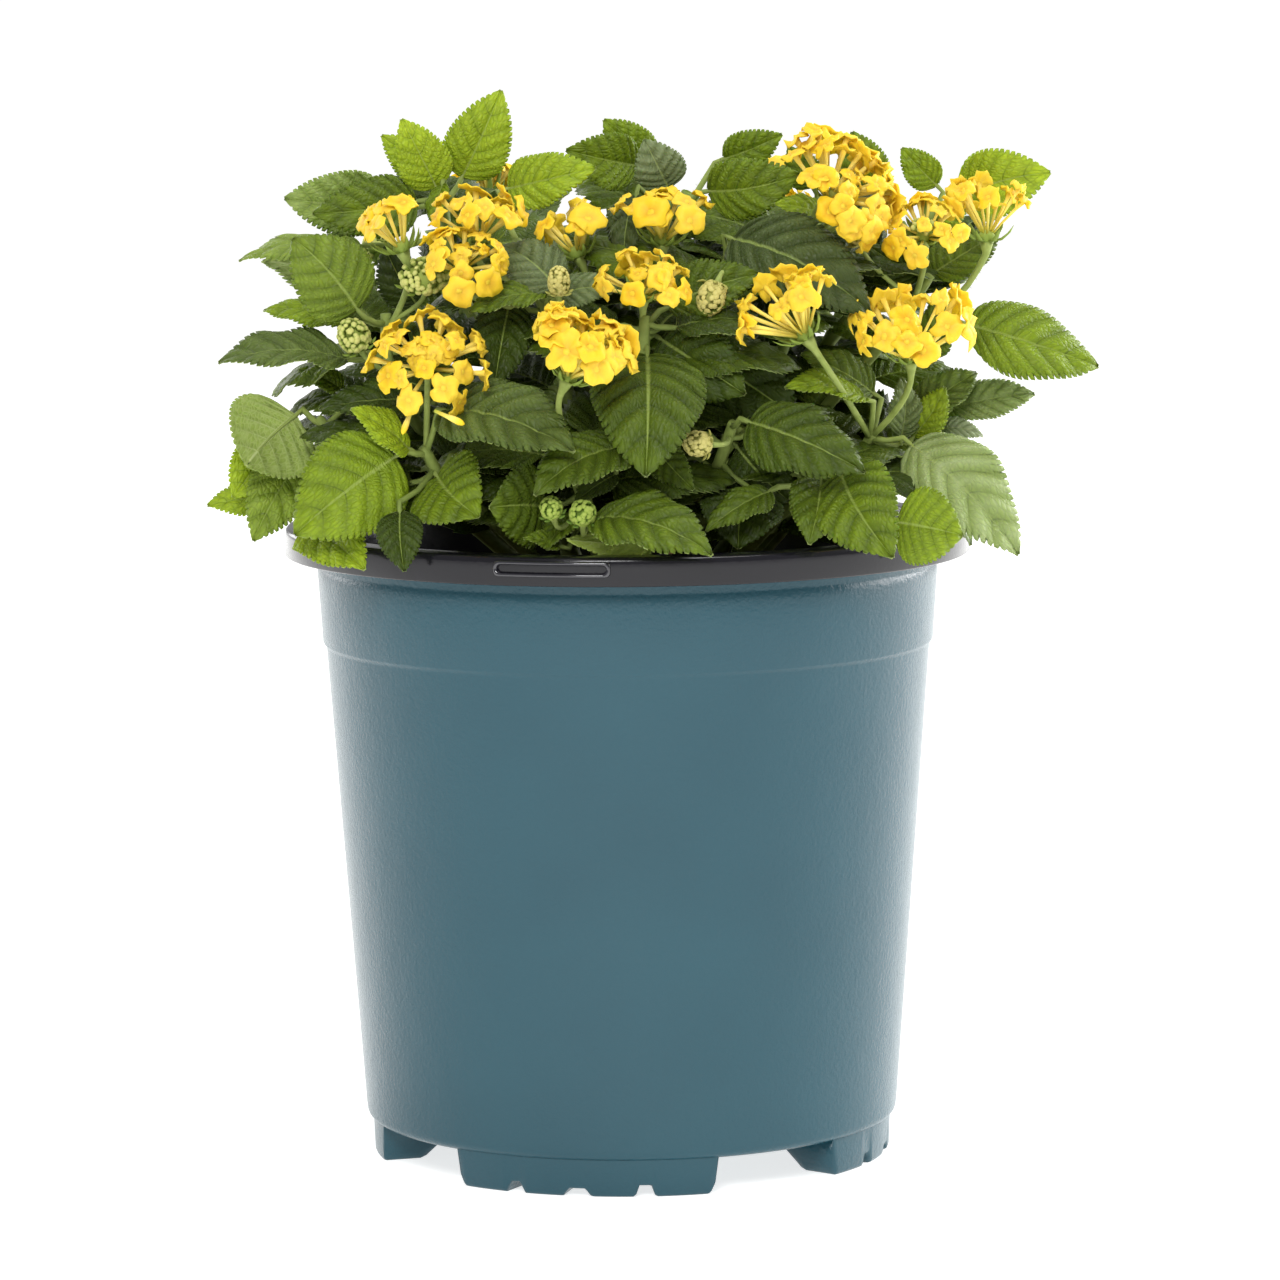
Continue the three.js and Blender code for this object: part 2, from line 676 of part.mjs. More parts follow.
// A flower head: an icosahedron whose uppermost faces are drawn out into florets, each a tube that
// widens into a throat and opens in a limb of four lobes.
function bloomSolid(place, way, halfAngle, length, count, grow) {
  const core = standOnCorner(mergeVertices(bareCopy(new THREE.IcosahedronGeometry(1, 0))));
  const standing = new THREE.Quaternion().setFromUnitVectors(new THREE.Vector3(0, 1, 0), way);
  const middle = place.clone().addScaledVector(way, receptacle.height / 2);
  const corners = core.getAttribute('position');
  const indices = Array.from({ length: corners.count }, (_, i) => i);
  const unit = indices.map((i) => new THREE.Vector3().fromBufferAttribute(corners, i));
  const breadth = receptacle.radius + grow;
  const size = new THREE.Vector3(breadth, receptacle.height / 2 + grow, breadth);
  const points = unit.map((p) => p.clone().multiply(size).applyQuaternion(standing).add(middle));

  const faces = Array.from({ length: 20 }, (_, f) => [...core.index.array.slice(3 * f, 3 * f + 3)]);
  const outOf = (face) => face.reduce((sum, i) => sum.add(unit[i]), new THREE.Vector3()).normalize();
  faces.sort((a, b) => outOf(b).y - outOf(a).y);
  const widest = Math.acos(outOf(faces[count - 1]).y);
  const triangles = faces.slice(count).flat();

  faces.slice(0, count).forEach((face, index) => {
    const out = outOf(face);
    const lean = Math.acos(out.y) * (THREE.MathUtils.degToRad(halfAngle) / widest);
    const flat = new THREE.Vector3(out.x, 0, out.z).normalize().multiplyScalar(Math.sin(lean));
    const heading = flat.setY(Math.cos(lean)).applyQuaternion(standing);
    const reach = length * (index % 2 ? 1 : floret.shortShare);
    const first = points.length;
    const across = points[face[0]].clone().sub(middle);
    across.addScaledVector(heading, -across.dot(heading)).normalize();
    const other = heading.clone().cross(across);
    const ring = (distance, radii) => radii.forEach((radius, k) => {
      const angle = (2 * Math.PI * k) / radii.length;
      points.push(middle.clone()
        .addScaledVector(heading, distance)
        .addScaledVector(across, (radius + grow) * Math.cos(angle))
        .addScaledVector(other, (radius + grow) * Math.sin(angle)));
    });
    ring(reach - floret.flare - grow, Array(3).fill(floret.throatRadius));
    ring(reach, Array.from({ length: 8 }, (_, k) => floret.limbRadius * (k % 2 ? 1 : floret.notch)));
    points.push(middle.clone().addScaledVector(heading, reach - floret.dish + 2 * grow));
    const limb = (step) => first + 3 + (step % 8);
    for (let k = 0; k < 3; k += 1) {
      const next = first + ((k + 1) % 3);
      const far = Math.min(3 * k + 3, 8);
      triangles.push(face[k], face[(k + 1) % 3], next, face[k], next, first + k);
      triangles.push(first + k, next, limb(far));
      for (let step = 3 * k; step < far; step += 1) {
        triangles.push(first + k, limb(step + 1), limb(step), first + 11, limb(step), limb(step + 1));
      }
    }
  });
  return toSolid(fromTriangles(points, triangles));
}

// A young head: an icosahedron with its edges halved, whose twelve corners stand out as buds.
function budSolid(place, way, halfWidth, height, grow) {
  const form = new THREE.IcosahedronGeometry(1, 1);
  const corners = form.getAttribute('position');
  for (let i = 0; i < corners.count; i += 1) {
    const p = new THREE.Vector3().fromBufferAttribute(corners, i);
    const isBud = Math.abs(p.x * p.y * p.z) < 1e-6 && Math.max(...p.toArray().map(Math.abs)) < 0.9;
    corners.setXYZ(i, ...p.multiplyScalar(isBud ? 1 : bud.sunkShare).toArray());
  }
  standOnCorner(form);
  form.scale(halfWidth + grow, height / 2 + grow, halfWidth + grow);
  form.applyQuaternion(new THREE.Quaternion().setFromUnitVectors(new THREE.Vector3(0, 1, 0), way));
  form.translate(...place.clone().addScaledVector(way, height / 2).toArray());
  return toSolid(form);
}

// ---- Assembly ----

const colours = {
  pot: { color: '#4a6b76', roughness: 0.42, metalness: 0 },
  mix: { color: '#3a2c22', roughness: 1, metalness: 0 },
  leaf: { color: '#6f8a26', roughness: 0.6, metalness: 0 },
  petal: { color: '#f3ca2f', roughness: 0.55, metalness: 0 },
  bud: { color: '#b3b84a', roughness: 0.7, metalness: 0 },
};

const shoots = Object.entries(frontShoots).map(([name, shoot]) => {
  const line = stemLine(shoot.root, shoot.path.map(onView));
  return { name, root: shoot.root, line, leaves: shoot.leaves.map((row) => frontLeaf(row, line)) };
});

for (const [name, row] of Object.entries(backShoots)) {
  const angle = THREE.MathUtils.degToRad(row.azimuth);
  const at = (share, height) => new THREE.Vector3(
    row.reach * share * Math.cos(angle),
    row.reach * share * Math.sin(angle),
    height,
  );
  const root = at(backRule.rootShare, 0).toArray().slice(0, 2);
  const points = backRule.route.map(([share, rise]) => (
    at(share, THREE.MathUtils.lerp(mix.top, row.height, rise))
  ));
  const line = stemLine(root, points);
  shoots.push({ name, root, line, leaves: backLeaves({ angle, turn: row.turn }, line) });
}

const shootNamed = (name) => shoots.find((shoot) => shoot.name === name);

// A head's place: on the elevation where that is given, or else just above its shoot's tip.
function headPlace([shootName, place, facing]) {
  const way = new THREE.Vector3(...facing).normalize();
  const tip = shootNamed(shootName).line.at(-1).clone();
  return { shoot: shootName, way, place: place ? onView(place) : tip.addScaledVector(way, 14) };
}

const heads = [];
for (const [name, row] of Object.entries(blooms)) {
  const { shoot, way, place } = headPlace(row);
  const seat = place.clone().addScaledVector(way, seatGap);
  const make = (grow) => bloomSolid(seat, way, row[3], row[4], row[5], grow);
  heads.push({ name, shoot, way, place, cup: bloomCup, make, finish: colours.petal });
}
for (const [name, row] of Object.entries(budHeads)) {
  const { shoot, way, place } = headPlace(row);
  const seat = place.clone().addScaledVector(way, seatGap);
  const make = (grow) => budSolid(seat, way, row[3], row[4], grow);
  heads.push({ name, shoot, way, place, cup: budCup, make, finish: colours.bud });
}

function woodOf(shoot, grow) {
  const carried = heads.filter((head) => head.shoot === shoot.name);
  const stalks = carried.map((head) => stalk(shoot.line, head, grow));
  return join([stemSolid(shoot.line, grow), ...stalks]);
}

const holes = shoots.map((shoot) => {
  const width = 2 * (stem.baseRadius + stem.clearance);
  const hole = new THREE.BoxGeometry(width, width, 2 * stem.depth + 2);
  hole.translate(shoot.root[0], shoot.root[1], mix.top);
  return toSolid(hole);
});

const finished = [
  { name: 'pot', solid: potSolid(), finish: colours.pot },
  { name: 'potting_mix', solid: mixSolid(holes), finish: colours.mix },
];

const woods = shoots.map((shoot) => ({ owner: shoot.name, grown: woodOf(shoot, gap) }));
const standing = [{ owner: 'pot', grown: potSolid() }, ...woods];

for (const head of heads) {
  const others = standing.filter((piece) => piece.owner !== head.shoot).map((piece) => piece.grown);
  finished.push({ name: head.name, solid: clearOf(head.make(0), others), finish: head.finish });
  standing.push({ owner: head.name, grown: head.make(gap) });
}

for (const shoot of shoots) {
  const others = standing.filter((piece) => piece.owner !== shoot.name).map((piece) => piece.grown);
  const blades = shoot.leaves.map((leaf) => clearOf(leafSolid(leaf, 0), others));
  const whole = largestPiece(join([woodOf(shoot, 0), ...blades]));
  finished.push({ name: `shoot_${shoot.name}`, solid: whole, finish: colours.leaf });
  standing.push(...shoot.leaves.map((leaf) => ({ owner: shoot.name, grown: leafSolid(leaf, gap) })));
}

const lantana = new THREE.Group();
for (const { name, solid, finish } of finished) {
  const mesh = new THREE.Mesh(toGeometry(solid), new THREE.MeshStandardMaterial(finish));
  mesh.name = name;
  lantana.add(mesh);
}

// The origin stands below the middle of the plant's spread, on the surface under the feet.
lantana.position.x = (plantSpread.left - plantSpread.right) / 2;

export default lantana;
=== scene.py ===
import json
import math
import random
from functools import partial

import bmesh
import bpy
import numpy as np
from mathutils import Matrix, Vector

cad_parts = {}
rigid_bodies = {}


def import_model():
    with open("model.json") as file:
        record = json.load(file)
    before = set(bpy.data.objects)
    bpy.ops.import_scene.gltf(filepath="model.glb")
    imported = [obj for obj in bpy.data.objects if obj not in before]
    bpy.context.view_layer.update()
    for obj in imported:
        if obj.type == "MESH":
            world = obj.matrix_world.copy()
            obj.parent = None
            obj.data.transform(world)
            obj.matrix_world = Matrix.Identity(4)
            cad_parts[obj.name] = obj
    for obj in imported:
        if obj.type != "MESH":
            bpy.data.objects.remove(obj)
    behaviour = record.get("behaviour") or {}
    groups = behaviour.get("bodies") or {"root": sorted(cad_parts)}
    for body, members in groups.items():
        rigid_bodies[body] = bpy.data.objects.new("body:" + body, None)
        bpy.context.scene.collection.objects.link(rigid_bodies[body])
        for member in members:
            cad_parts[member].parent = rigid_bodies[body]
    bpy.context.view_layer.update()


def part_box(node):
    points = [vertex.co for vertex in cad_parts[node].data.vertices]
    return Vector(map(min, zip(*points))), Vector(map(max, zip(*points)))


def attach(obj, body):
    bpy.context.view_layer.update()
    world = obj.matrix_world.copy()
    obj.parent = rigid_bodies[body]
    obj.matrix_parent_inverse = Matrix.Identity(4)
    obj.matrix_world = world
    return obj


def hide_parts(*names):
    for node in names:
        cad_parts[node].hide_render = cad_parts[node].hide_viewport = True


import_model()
mm = 0.001
potLow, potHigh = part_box("pot")
potAxis = Vector(((potLow.x + potHigh.x) / 2, (potLow.y + potHigh.y) / 2, 0)) / mm
scene = bpy.context.scene


# Materials

def colour(code):
    parts = [int(code[i:i + 2], 16) / 255 for i in (1, 3, 5)]
    return [c / 12.92 if c <= 0.04045 else ((c + 0.055) / 1.055) ** 2.4 for c in parts] + [1]


def setStops(elements, stops):
    while len(elements) < len(stops):
        elements.new(0.5)
    for element, (place, code) in zip(elements, stops):
        element.position = place
        element.color = colour(code)


def addNode(tree, kind, *values, stops=None, **settings):
    # values link or set the inputs in their order, or by name where they come as one dictionary
    node = tree.nodes.new(kind if "Node" in kind else "ShaderNode" + kind)
    for name, value in settings.items():
        setattr(node, name, value)
    if stops:
        setStops(node.color_ramp.elements, stops)
    inputs = values[0] if values and isinstance(values[0], dict) else dict(enumerate(values))
    for name, value in inputs.items():
        if isinstance(value, bpy.types.NodeSocket):
            tree.links.new(value, node.inputs[name])
        else:
            node.inputs[name].default_value = value
    return node.outputs


def newMaterial(name, shading):
    # the material, and what adds nodes to it
    material = bpy.data.materials.new(name)
    material.use_nodes = True
    shader = material.node_tree.nodes["Principled BSDF"].inputs
    for socket, value in shading.items():
        shader[socket].default_value = value
    return material, partial(addNode, material.node_tree)


def finished(material, base, height=None, strength=1.0, depth=1.0):
    # with its colour, and a relief whose depth is in millimetres
    tree = material.node_tree
    shader = tree.nodes["Principled BSDF"].inputs
    tree.links.new(base, shader["Base Color"])
    if height:
        relief = {"Strength": strength, "Distance": depth * mm, "Height": height}
        tree.links.new(addNode(tree, "Bump", relief)[0], shader["Normal"])
    return material


leafLook = {
    "veins": 7,  # side veins in each half
    "tones": [(0, "#202b09"), (0.3, "#38470f"), (0.5, "#526417"), (0.72, "#788e1a"), (1, "#a5bb28")],
    "vein": "#93a550",
    "crease": "#26360a",
    "silver": "#a6b094",
    "under": "#93a45a",
    "underVein": "#bcc68c",
    "cell": (0.85, 1.5),  # the wrinkles between two side veins, mm along these and square to them
}


def leafMaterial(name, isUpper):
    # living leaf, wrinkled and finely hairy: a broken soft gloss above, paler and duller below
    material, add = newMaterial(name, {
        "Roughness": 0.44 if isUpper else 0.7, "IOR": 1.42, "Specular IOR Level": 0.24 if isUpper else 0.2,
        "Subsurface Weight": 0.06, "Subsurface Radius": (0.4, 1, 0.15), "Subsurface Scale": 1.0 * mm})
    place = add("TexCoord")
    tone, silver = [add("Attribute", attribute_name=key)["Fac"] for key in ("tone", "silver")]
    blade = add("SeparateXYZ", place["UV"])
    size = add("SeparateXYZ", add("UVMap", uv_map="size")[0])
    across = add("Math", add("Math", blade["X"], 2, -1, operation="MULTIPLY_ADD")[0], operation="ABSOLUTE")[0]
    row = add("Math", blade["Y"], leafLook["veins"], operation="MULTIPLY")[0]
    toVein = add("Math", row, 0.5, operation="PINGPONG")[0]

    patches = add("TexNoise", {"Vector": place["Object"], "Scale": 1 / (9 * mm), "Detail": 3})["Fac"]
    toned = add("Math", tone, 0.14, operation="SUBTRACT")[0]
    mottled = add("Math", patches, 0.26, toned, operation="MULTIPLY_ADD")[0]
    between = add("Math", toVein, 0.2, mottled, operation="MULTIPLY_ADD")[0]
    base = add("ValToRGB", between, stops=leafLook["tones"])[0]

    midrib = add("MapRange", across, 0.01, 0.06, 1, 0, interpolation_type="SMOOTHSTEP")[0]
    sideVein = add("MapRange", toVein, 0.0, 0.065, 1, 0, interpolation_type="SMOOTHSTEP")[0]
    fade = add("Math", across, -0.6, 0.75, operation="MULTIPLY_ADD")[0]
    fading = add("Math", sideVein, fade, operation="MULTIPLY")[0]
    cellWidth, cellLength = leafLook["cell"]
    cellX = add("Math", size["X"], cellWidth, operation="DIVIDE")[0]
    cellY = add("Math", size["Y"], cellLength, operation="DIVIDE")[0]
    cellPlace = {"Vector": add("CombineXYZ", cellX, cellY)[0], "Scale": 1.0}
    net = add("TexVoronoi", cellPlace, feature="DISTANCE_TO_EDGE")["Distance"]
    netLine = add("MapRange", net, 0.02, 0.2, 1, 0)[0]

    if isUpper:
        sideValley = add("Math", fading, 0.78, operation="MULTIPLY")[0]
        netValley = add("Math", netLine, 0.22, operation="MULTIPLY")[0]
        valleys = add("Math", sideValley, netValley, operation="MAXIMUM")[0]
        sunken = add("Mix", {0: valleys, 6: base, 7: colour(leafLook["crease"])}, data_type="RGBA")[2]
        rib = add("Math", midrib, 0.6, operation="MULTIPLY")[0]
        creased = add("Mix", {0: rib, 6: sunken, 7: colour(leafLook["vein"])}, data_type="RGBA")[2]
        patchy = add("Math", patches, 0.9, 0.25, operation="MULTIPLY_ADD")[0]
        hairy = add("Math", silver, patchy, operation="MULTIPLY")[0]
        inside = add("Math", toVein, 1.1, 0.5, operation="MULTIPLY_ADD")[0]
        hairyInside = add("Math", hairy, inside, operation="MULTIPLY")[0]
        finish = add("Mix", {0: hairyInside, 6: creased, 7: colour(leafLook["silver"])}, data_type="RGBA")[2]
    else:
        netVein = add("Math", netLine, 0.3, operation="MULTIPLY")[0]
        fineVeins = add("Math", fading, netVein, operation="MAXIMUM")[0]
        veins = add("Math", midrib, fineVeins, operation="MAXIMUM")[0]
        pale = add("Mix", {0: 0.62, 6: base, 7: colour(leafLook["under"])}, data_type="RGBA")[2]
        veined = add("Math", veins, 0.65, operation="MULTIPLY")[0]
        finish = add("Mix", {0: veined, 6: pale, 7: colour(leafLook["underVein"])}, data_type="RGBA")[2]

    fuzz = add("TexNoise", {"Vector": place["Object"], "Scale": 1 / (0.5 * mm), "Detail": 2})["Fac"]
    puffed = add("Math", net, 0.32, operation="MINIMUM")[0]
    relief = add("Math", fuzz, 0.16, puffed, operation="MULTIPLY_ADD")[0]
    return finished(material, finish, relief, 1.0 if isUpper else 0.5, 0.62)


def stemMaterial():
    # square green stem under short stiff hairs: pale, matte and slightly streaked along its length
    material, add = newMaterial("hairyGreenStem", {"Roughness": 0.68, "Specular IOR Level": 0.3})
    place = add("TexCoord")["Object"]
    streaks = add("TexNoise", {"Vector": place, "Scale": 1 / (2.5 * mm), "Detail": 4})["Fac"]
    toned = add("Math", add("Attribute", attribute_name="tone")["Fac"], 0.25, operation="SUBTRACT")[0]
    shade = add("Math", streaks, 0.5, toned, operation="MULTIPLY_ADD")[0]
    stops = [(0, "#4b5426"), (0.4, "#6d7d3a"), (0.75, "#8b9a4e"), (1, "#aab56c")]
    return finished(material, add("ValToRGB", shade, stops=stops)[0], streaks, 0.5, 0.3)


def petalMaterial():
    # thin living petal: strong yellow with a soft inner glow, green-tinged where the tube starts
    material, add = newMaterial("yellowPetal", {
        "Roughness": 0.55, "Specular IOR Level": 0.25, "Subsurface Weight": 0.25,
        "Subsurface Radius": (1, 0.9, 0.2), "Subsurface Scale": 1.2 * mm})
    place = add("TexCoord")["Object"]
    part, lot = [add("Attribute", attribute_name=key)["Fac"] for key in ("part", "lot")]
    base = add("ValToRGB", part, stops=[
        (0, "#a3b244"), (0.12, "#cfc04e"), (0.34, "#ead56e"),
        (0.55, "#e9c520"), (0.86, "#e6bb0f"), (1, "#d0950b")])[0]
    grain = add("TexNoise", {"Vector": place, "Scale": 1 / (2 * mm), "Detail": 2})["Fac"]
    mottled = add("Math", grain, 0.6, lot, operation="MULTIPLY_ADD")[0]
    paleness = add("Math", mottled, 0.3, operation="MULTIPLY")[0]
    finish = add("Mix", {0: paleness, 6: base, 7: colour("#f2d45a")}, data_type="RGBA")[2]
    return finished(material, finish, grain, 0.35, 0.25)


def budMaterial(name, codes, tint):
    # closed buds under felt, matte: green while young, cream before they open
    material, add = newMaterial(name, {"Roughness": 0.75, "Specular IOR Level": 0.2})
    part, lot = [add("Attribute", attribute_name=key)["Fac"] for key in ("part", "lot")]
    base = add("ValToRGB", part, stops=list(zip((0, 0.45, 0.8, 1), codes)))[0]
    tinting = add("Math", lot, 0.3, operation="MULTIPLY")[0]
    return finished(material, add("Mix", {0: tinting, 6: base, 7: colour(tint)}, data_type="RGBA")[2])


def potMaterial(name, codes, roughness, relief, specular):
    # injection-moulded polypropylene: semi-gloss over a fine orange-peel skin
    material, add = newMaterial(name, {"Roughness": roughness, "IOR": 1.49, "Specular IOR Level": specular})
    place = add("TexCoord")["Object"]
    clouds = add("TexNoise", {"Vector": place, "Scale": 1 / (38 * mm), "Detail": 2})["Fac"]
    base = add("Mix", {0: clouds, 6: colour(codes[0]), 7: colour(codes[1])}, data_type="RGBA")[2]
    peel = add("TexNoise", {"Vector": place, "Scale": 1 / (1.2 * mm), "Detail": 3, "Roughness": 0.6})["Fac"]
    waves = add("TexNoise", {"Vector": place, "Scale": 1 / (9 * mm), "Detail": 1})["Fac"]
    height = add("Math", waves, 0.9, peel, operation="MULTIPLY_ADD")[0]
    return finished(material, base, height, relief, 0.35)


def mixMaterial(name, stops):
    # composted bark and peat: damp, matte, each piece of its own brown
    material, add = newMaterial(name, {"Roughness": 0.9, "Specular IOR Level": 0.2})
    place = add("TexCoord")["Object"]
    crumbs = add("TexVoronoi", {"Vector": place, "Scale": 1 / (3 * mm)})["Distance"]
    fibres = add("TexNoise", {"Vector": place, "Scale": 1 / (1.2 * mm), "Detail": 5})["Fac"]
    fibrous = add("Math", fibres, 0.7, operation="MULTIPLY")[0]
    shade = add("Math", crumbs, 0.5, fibrous, operation="MULTIPLY_ADD")[0]
    return finished(material, add("ValToRGB", shade, stops=stops)[0], shade, 0.9, 1)


leafUpper = leafMaterial("leafUpperSide", True)
leafUnder = leafMaterial("leafUnderSide", False)
stemGreen = stemMaterial()
petalYellow = petalMaterial()
budGreen = budMaterial("greenFeltedBud", ("#6f8434", "#8b9f46", "#a9b45e", "#c6c67a"), "#c9c470")
budYoung = budMaterial("youngGreenBud", ("#56702a", "#668030", "#7d9439", "#98a750"), "#9cab50")
budCream = budMaterial("creamFeltedBud", ("#97984c", "#a5a458", "#b7b166", "#c9c078"), "#c6b968")
potTeal = potMaterial("tealPolypropylene", ("#1d4450", "#234d59"), 0.25, 0.45, 0.36)
potBlack = potMaterial("blackPolypropylene", ("#0e0d12", "#141319"), 0.15, 0.1, 0.36)
potPolished = potMaterial("polishedBlackPolypropylene", ("#1b1a20", "#222128"), 0.08, 0.03, 0.9)
mixBrown = mixMaterial("peatAndBark", [(0.2, "#1a110b"), (0.5, "#33231a"), (0.8, "#5a4330")])
barkBrown = mixMaterial("barkChips", [(0.2, "#2b1a10"), (0.5, "#5b3f2a"), (0.8, "#8a6a4a")])
print("materials ready")


# Meshes from parts: each part is points, faces, materials, a place on the blade and its own numbers

pointNumbers = ("tone", "silver", "part")


def newParts():
    # what a mesh is gathered in
    return {"count": 0} | {key: [] for key in ("points", "faces", "material", "uv", "size", *pointNumbers)}


def addPart(parts, points, faces, material=0, uv=None, tone=0.5, silver=0.0, part=None, size=None):
    amount = len(points)
    parts["faces"] += [tuple(corner + parts["count"] for corner in face) for face in faces]
    parts["material"] += [material] * len(faces) if isinstance(material, int) else material
    parts["points"].append(np.asarray(points, float))
    parts["uv"].append(np.zeros((amount, 2)) if uv is None else uv)
    parts["size"].append(np.zeros((amount, 2)) if size is None else size)
    parts["tone"].append(np.full(amount, tone))
    parts["silver"].append(np.full(amount, silver))
    parts["part"].append(np.zeros(amount) if part is None else part)
    parts["count"] += amount


def makeMesh(name, parts, materials, isPlaced=True):
    # in metres, round the pot's axis, or round its own origin
    points = np.concatenate(parts["points"])
    if isPlaced:
        points = (points + np.array(potAxis)) * mm
    mesh = bpy.data.meshes.new(name)
    mesh.from_pydata(points.tolist(), [], parts["faces"])
    if not isPlaced:
        mesh.transform(Matrix.Scale(mm, 4))
    for material in materials:
        mesh.materials.append(material)
    mesh.polygons.foreach_set("material_index", parts["material"])
    mesh.polygons.foreach_set("use_smooth", [True] * len(mesh.polygons))
    corners = np.zeros(len(mesh.loops), int)
    mesh.loops.foreach_get("vertex_index", corners)
    for layer, key in (("blade", "uv"), ("size", "size")):
        mesh.uv_layers.new(name=layer).data.foreach_set("uv", np.concatenate(parts[key])[corners].ravel())
    for key in pointNumbers:
        mesh.attributes.new(key, "FLOAT", "POINT").data.foreach_set("value", np.concatenate(parts[key]))
    mesh.validate()
    return mesh


def addObject(name, data):
    made = bpy.data.objects.new(name, data)
    scene.collection.objects.link(made)
    return made


def showPiece(name, mesh, cadNode=None):
    piece = addObject(name, mesh)
    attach(piece, "root")
    if cadNode:
        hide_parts(cadNode)
    return piece


def applied(name, mesh, kind, setUp):
    # the mesh that one modifier makes of a mesh
    holder = addObject(name, mesh)
    setUp(holder.modifiers.new("only", kind))
    graph = bpy.context.evaluated_depsgraph_get()
    made = bpy.data.meshes.new_from_object(holder.evaluated_get(graph))
    bpy.data.objects.remove(holder)
    return made


def joined(name, meshes, materials):
    # one mesh of several, with one list of materials
    whole = bmesh.new()
    for mesh in meshes:
        slots = [materials.index(material) for material in mesh.materials]
        before = len(whole.faces)
        whole.from_mesh(mesh)
        whole.faces.ensure_lookup_table()
        for face in whole.faces[before:]:
            face.material_index = slots[min(face.material_index, len(slots) - 1)]
            face.smooth = True
    return meshOf(name, whole, materials)


def meshOf(name, shape, materials):
    made = bpy.data.meshes.new(name)
    shape.to_mesh(made)
    shape.free()
    for material in materials:
        made.materials.append(material)
    return made


def facesOf(mesh, keep):
    # a copy of a mesh with only the faces that a test keeps
    shape = bmesh.new()
    shape.from_mesh(mesh)
    bmesh.ops.delete(shape, geom=[face for face in shape.faces if not keep(face)], context="FACES")
    return meshOf(mesh.name + "Part", shape, mesh.materials)


def turnOutwards(mesh):
    shape = bmesh.new()
    shape.from_mesh(mesh)
    bmesh.ops.recalc_face_normals(shape, faces=shape.faces)
    shape.to_mesh(mesh)
    shape.free()
    return mesh


def ringFaces(rings, sides, isLoop=False):
    # quads from ring to ring, and a face on each end unless the rings make a loop
    faces = []
    for ring in range(rings if isLoop else rings - 1):
        here, after = ring * sides, (ring + 1) % rings * sides
        for k in range(sides):
            turn = (k + 1) % sides
            faces.append((here + k, here + turn, after + turn, after + k))
    if not isLoop:
        last = (rings - 1) * sides
        faces += [tuple(reversed(range(sides))), tuple(range(last, last + sides))]
    return faces


def addTube(parts, line, radii, sides, material=0, tone=0.5, ridge=0, part=None, flat=1, way=(1, 0.2, 0.1)):
    # with four ridges where it has any, and flattened along its way
    line = [Vector(p) for p in line]
    points = []
    normal = Vector(way)
    for i, centre in enumerate(line):
        tangent = (line[min(len(line) - 1, i + 1)] - line[max(0, i - 1)]).normalized()
        normal = (normal - tangent * normal.dot(tangent)).normalized()
        binormal = tangent.cross(normal)
        for k in range(sides):
            angle = 2 * math.pi * k / sides
            radius = radii[i] * (1 + ridge * math.cos(4 * angle))
            aside = normal * (flat * radius * math.cos(angle))
            points.append(centre + aside + binormal * (radius * math.sin(angle)))
    shares = None if part is None else np.repeat(part, sides)
    addPart(parts, points, ringFaces(len(line), sides), material, tone=tone, part=shares)


# Where the plant is: set out on the front elevation, as the camera sees it

eye = {"distance": 1500, "height": 308, "aside": 3, "lens": 168.5, "pitch": 6.8, "roll": 0.45}
mixTop = 142
stemForm = {
    "baseRadius": 1.9, "tipRadius": 1.2, "depth": 14, "collar": 3, "steps": 18, "ridge": 0.1, "sides": 8,
}

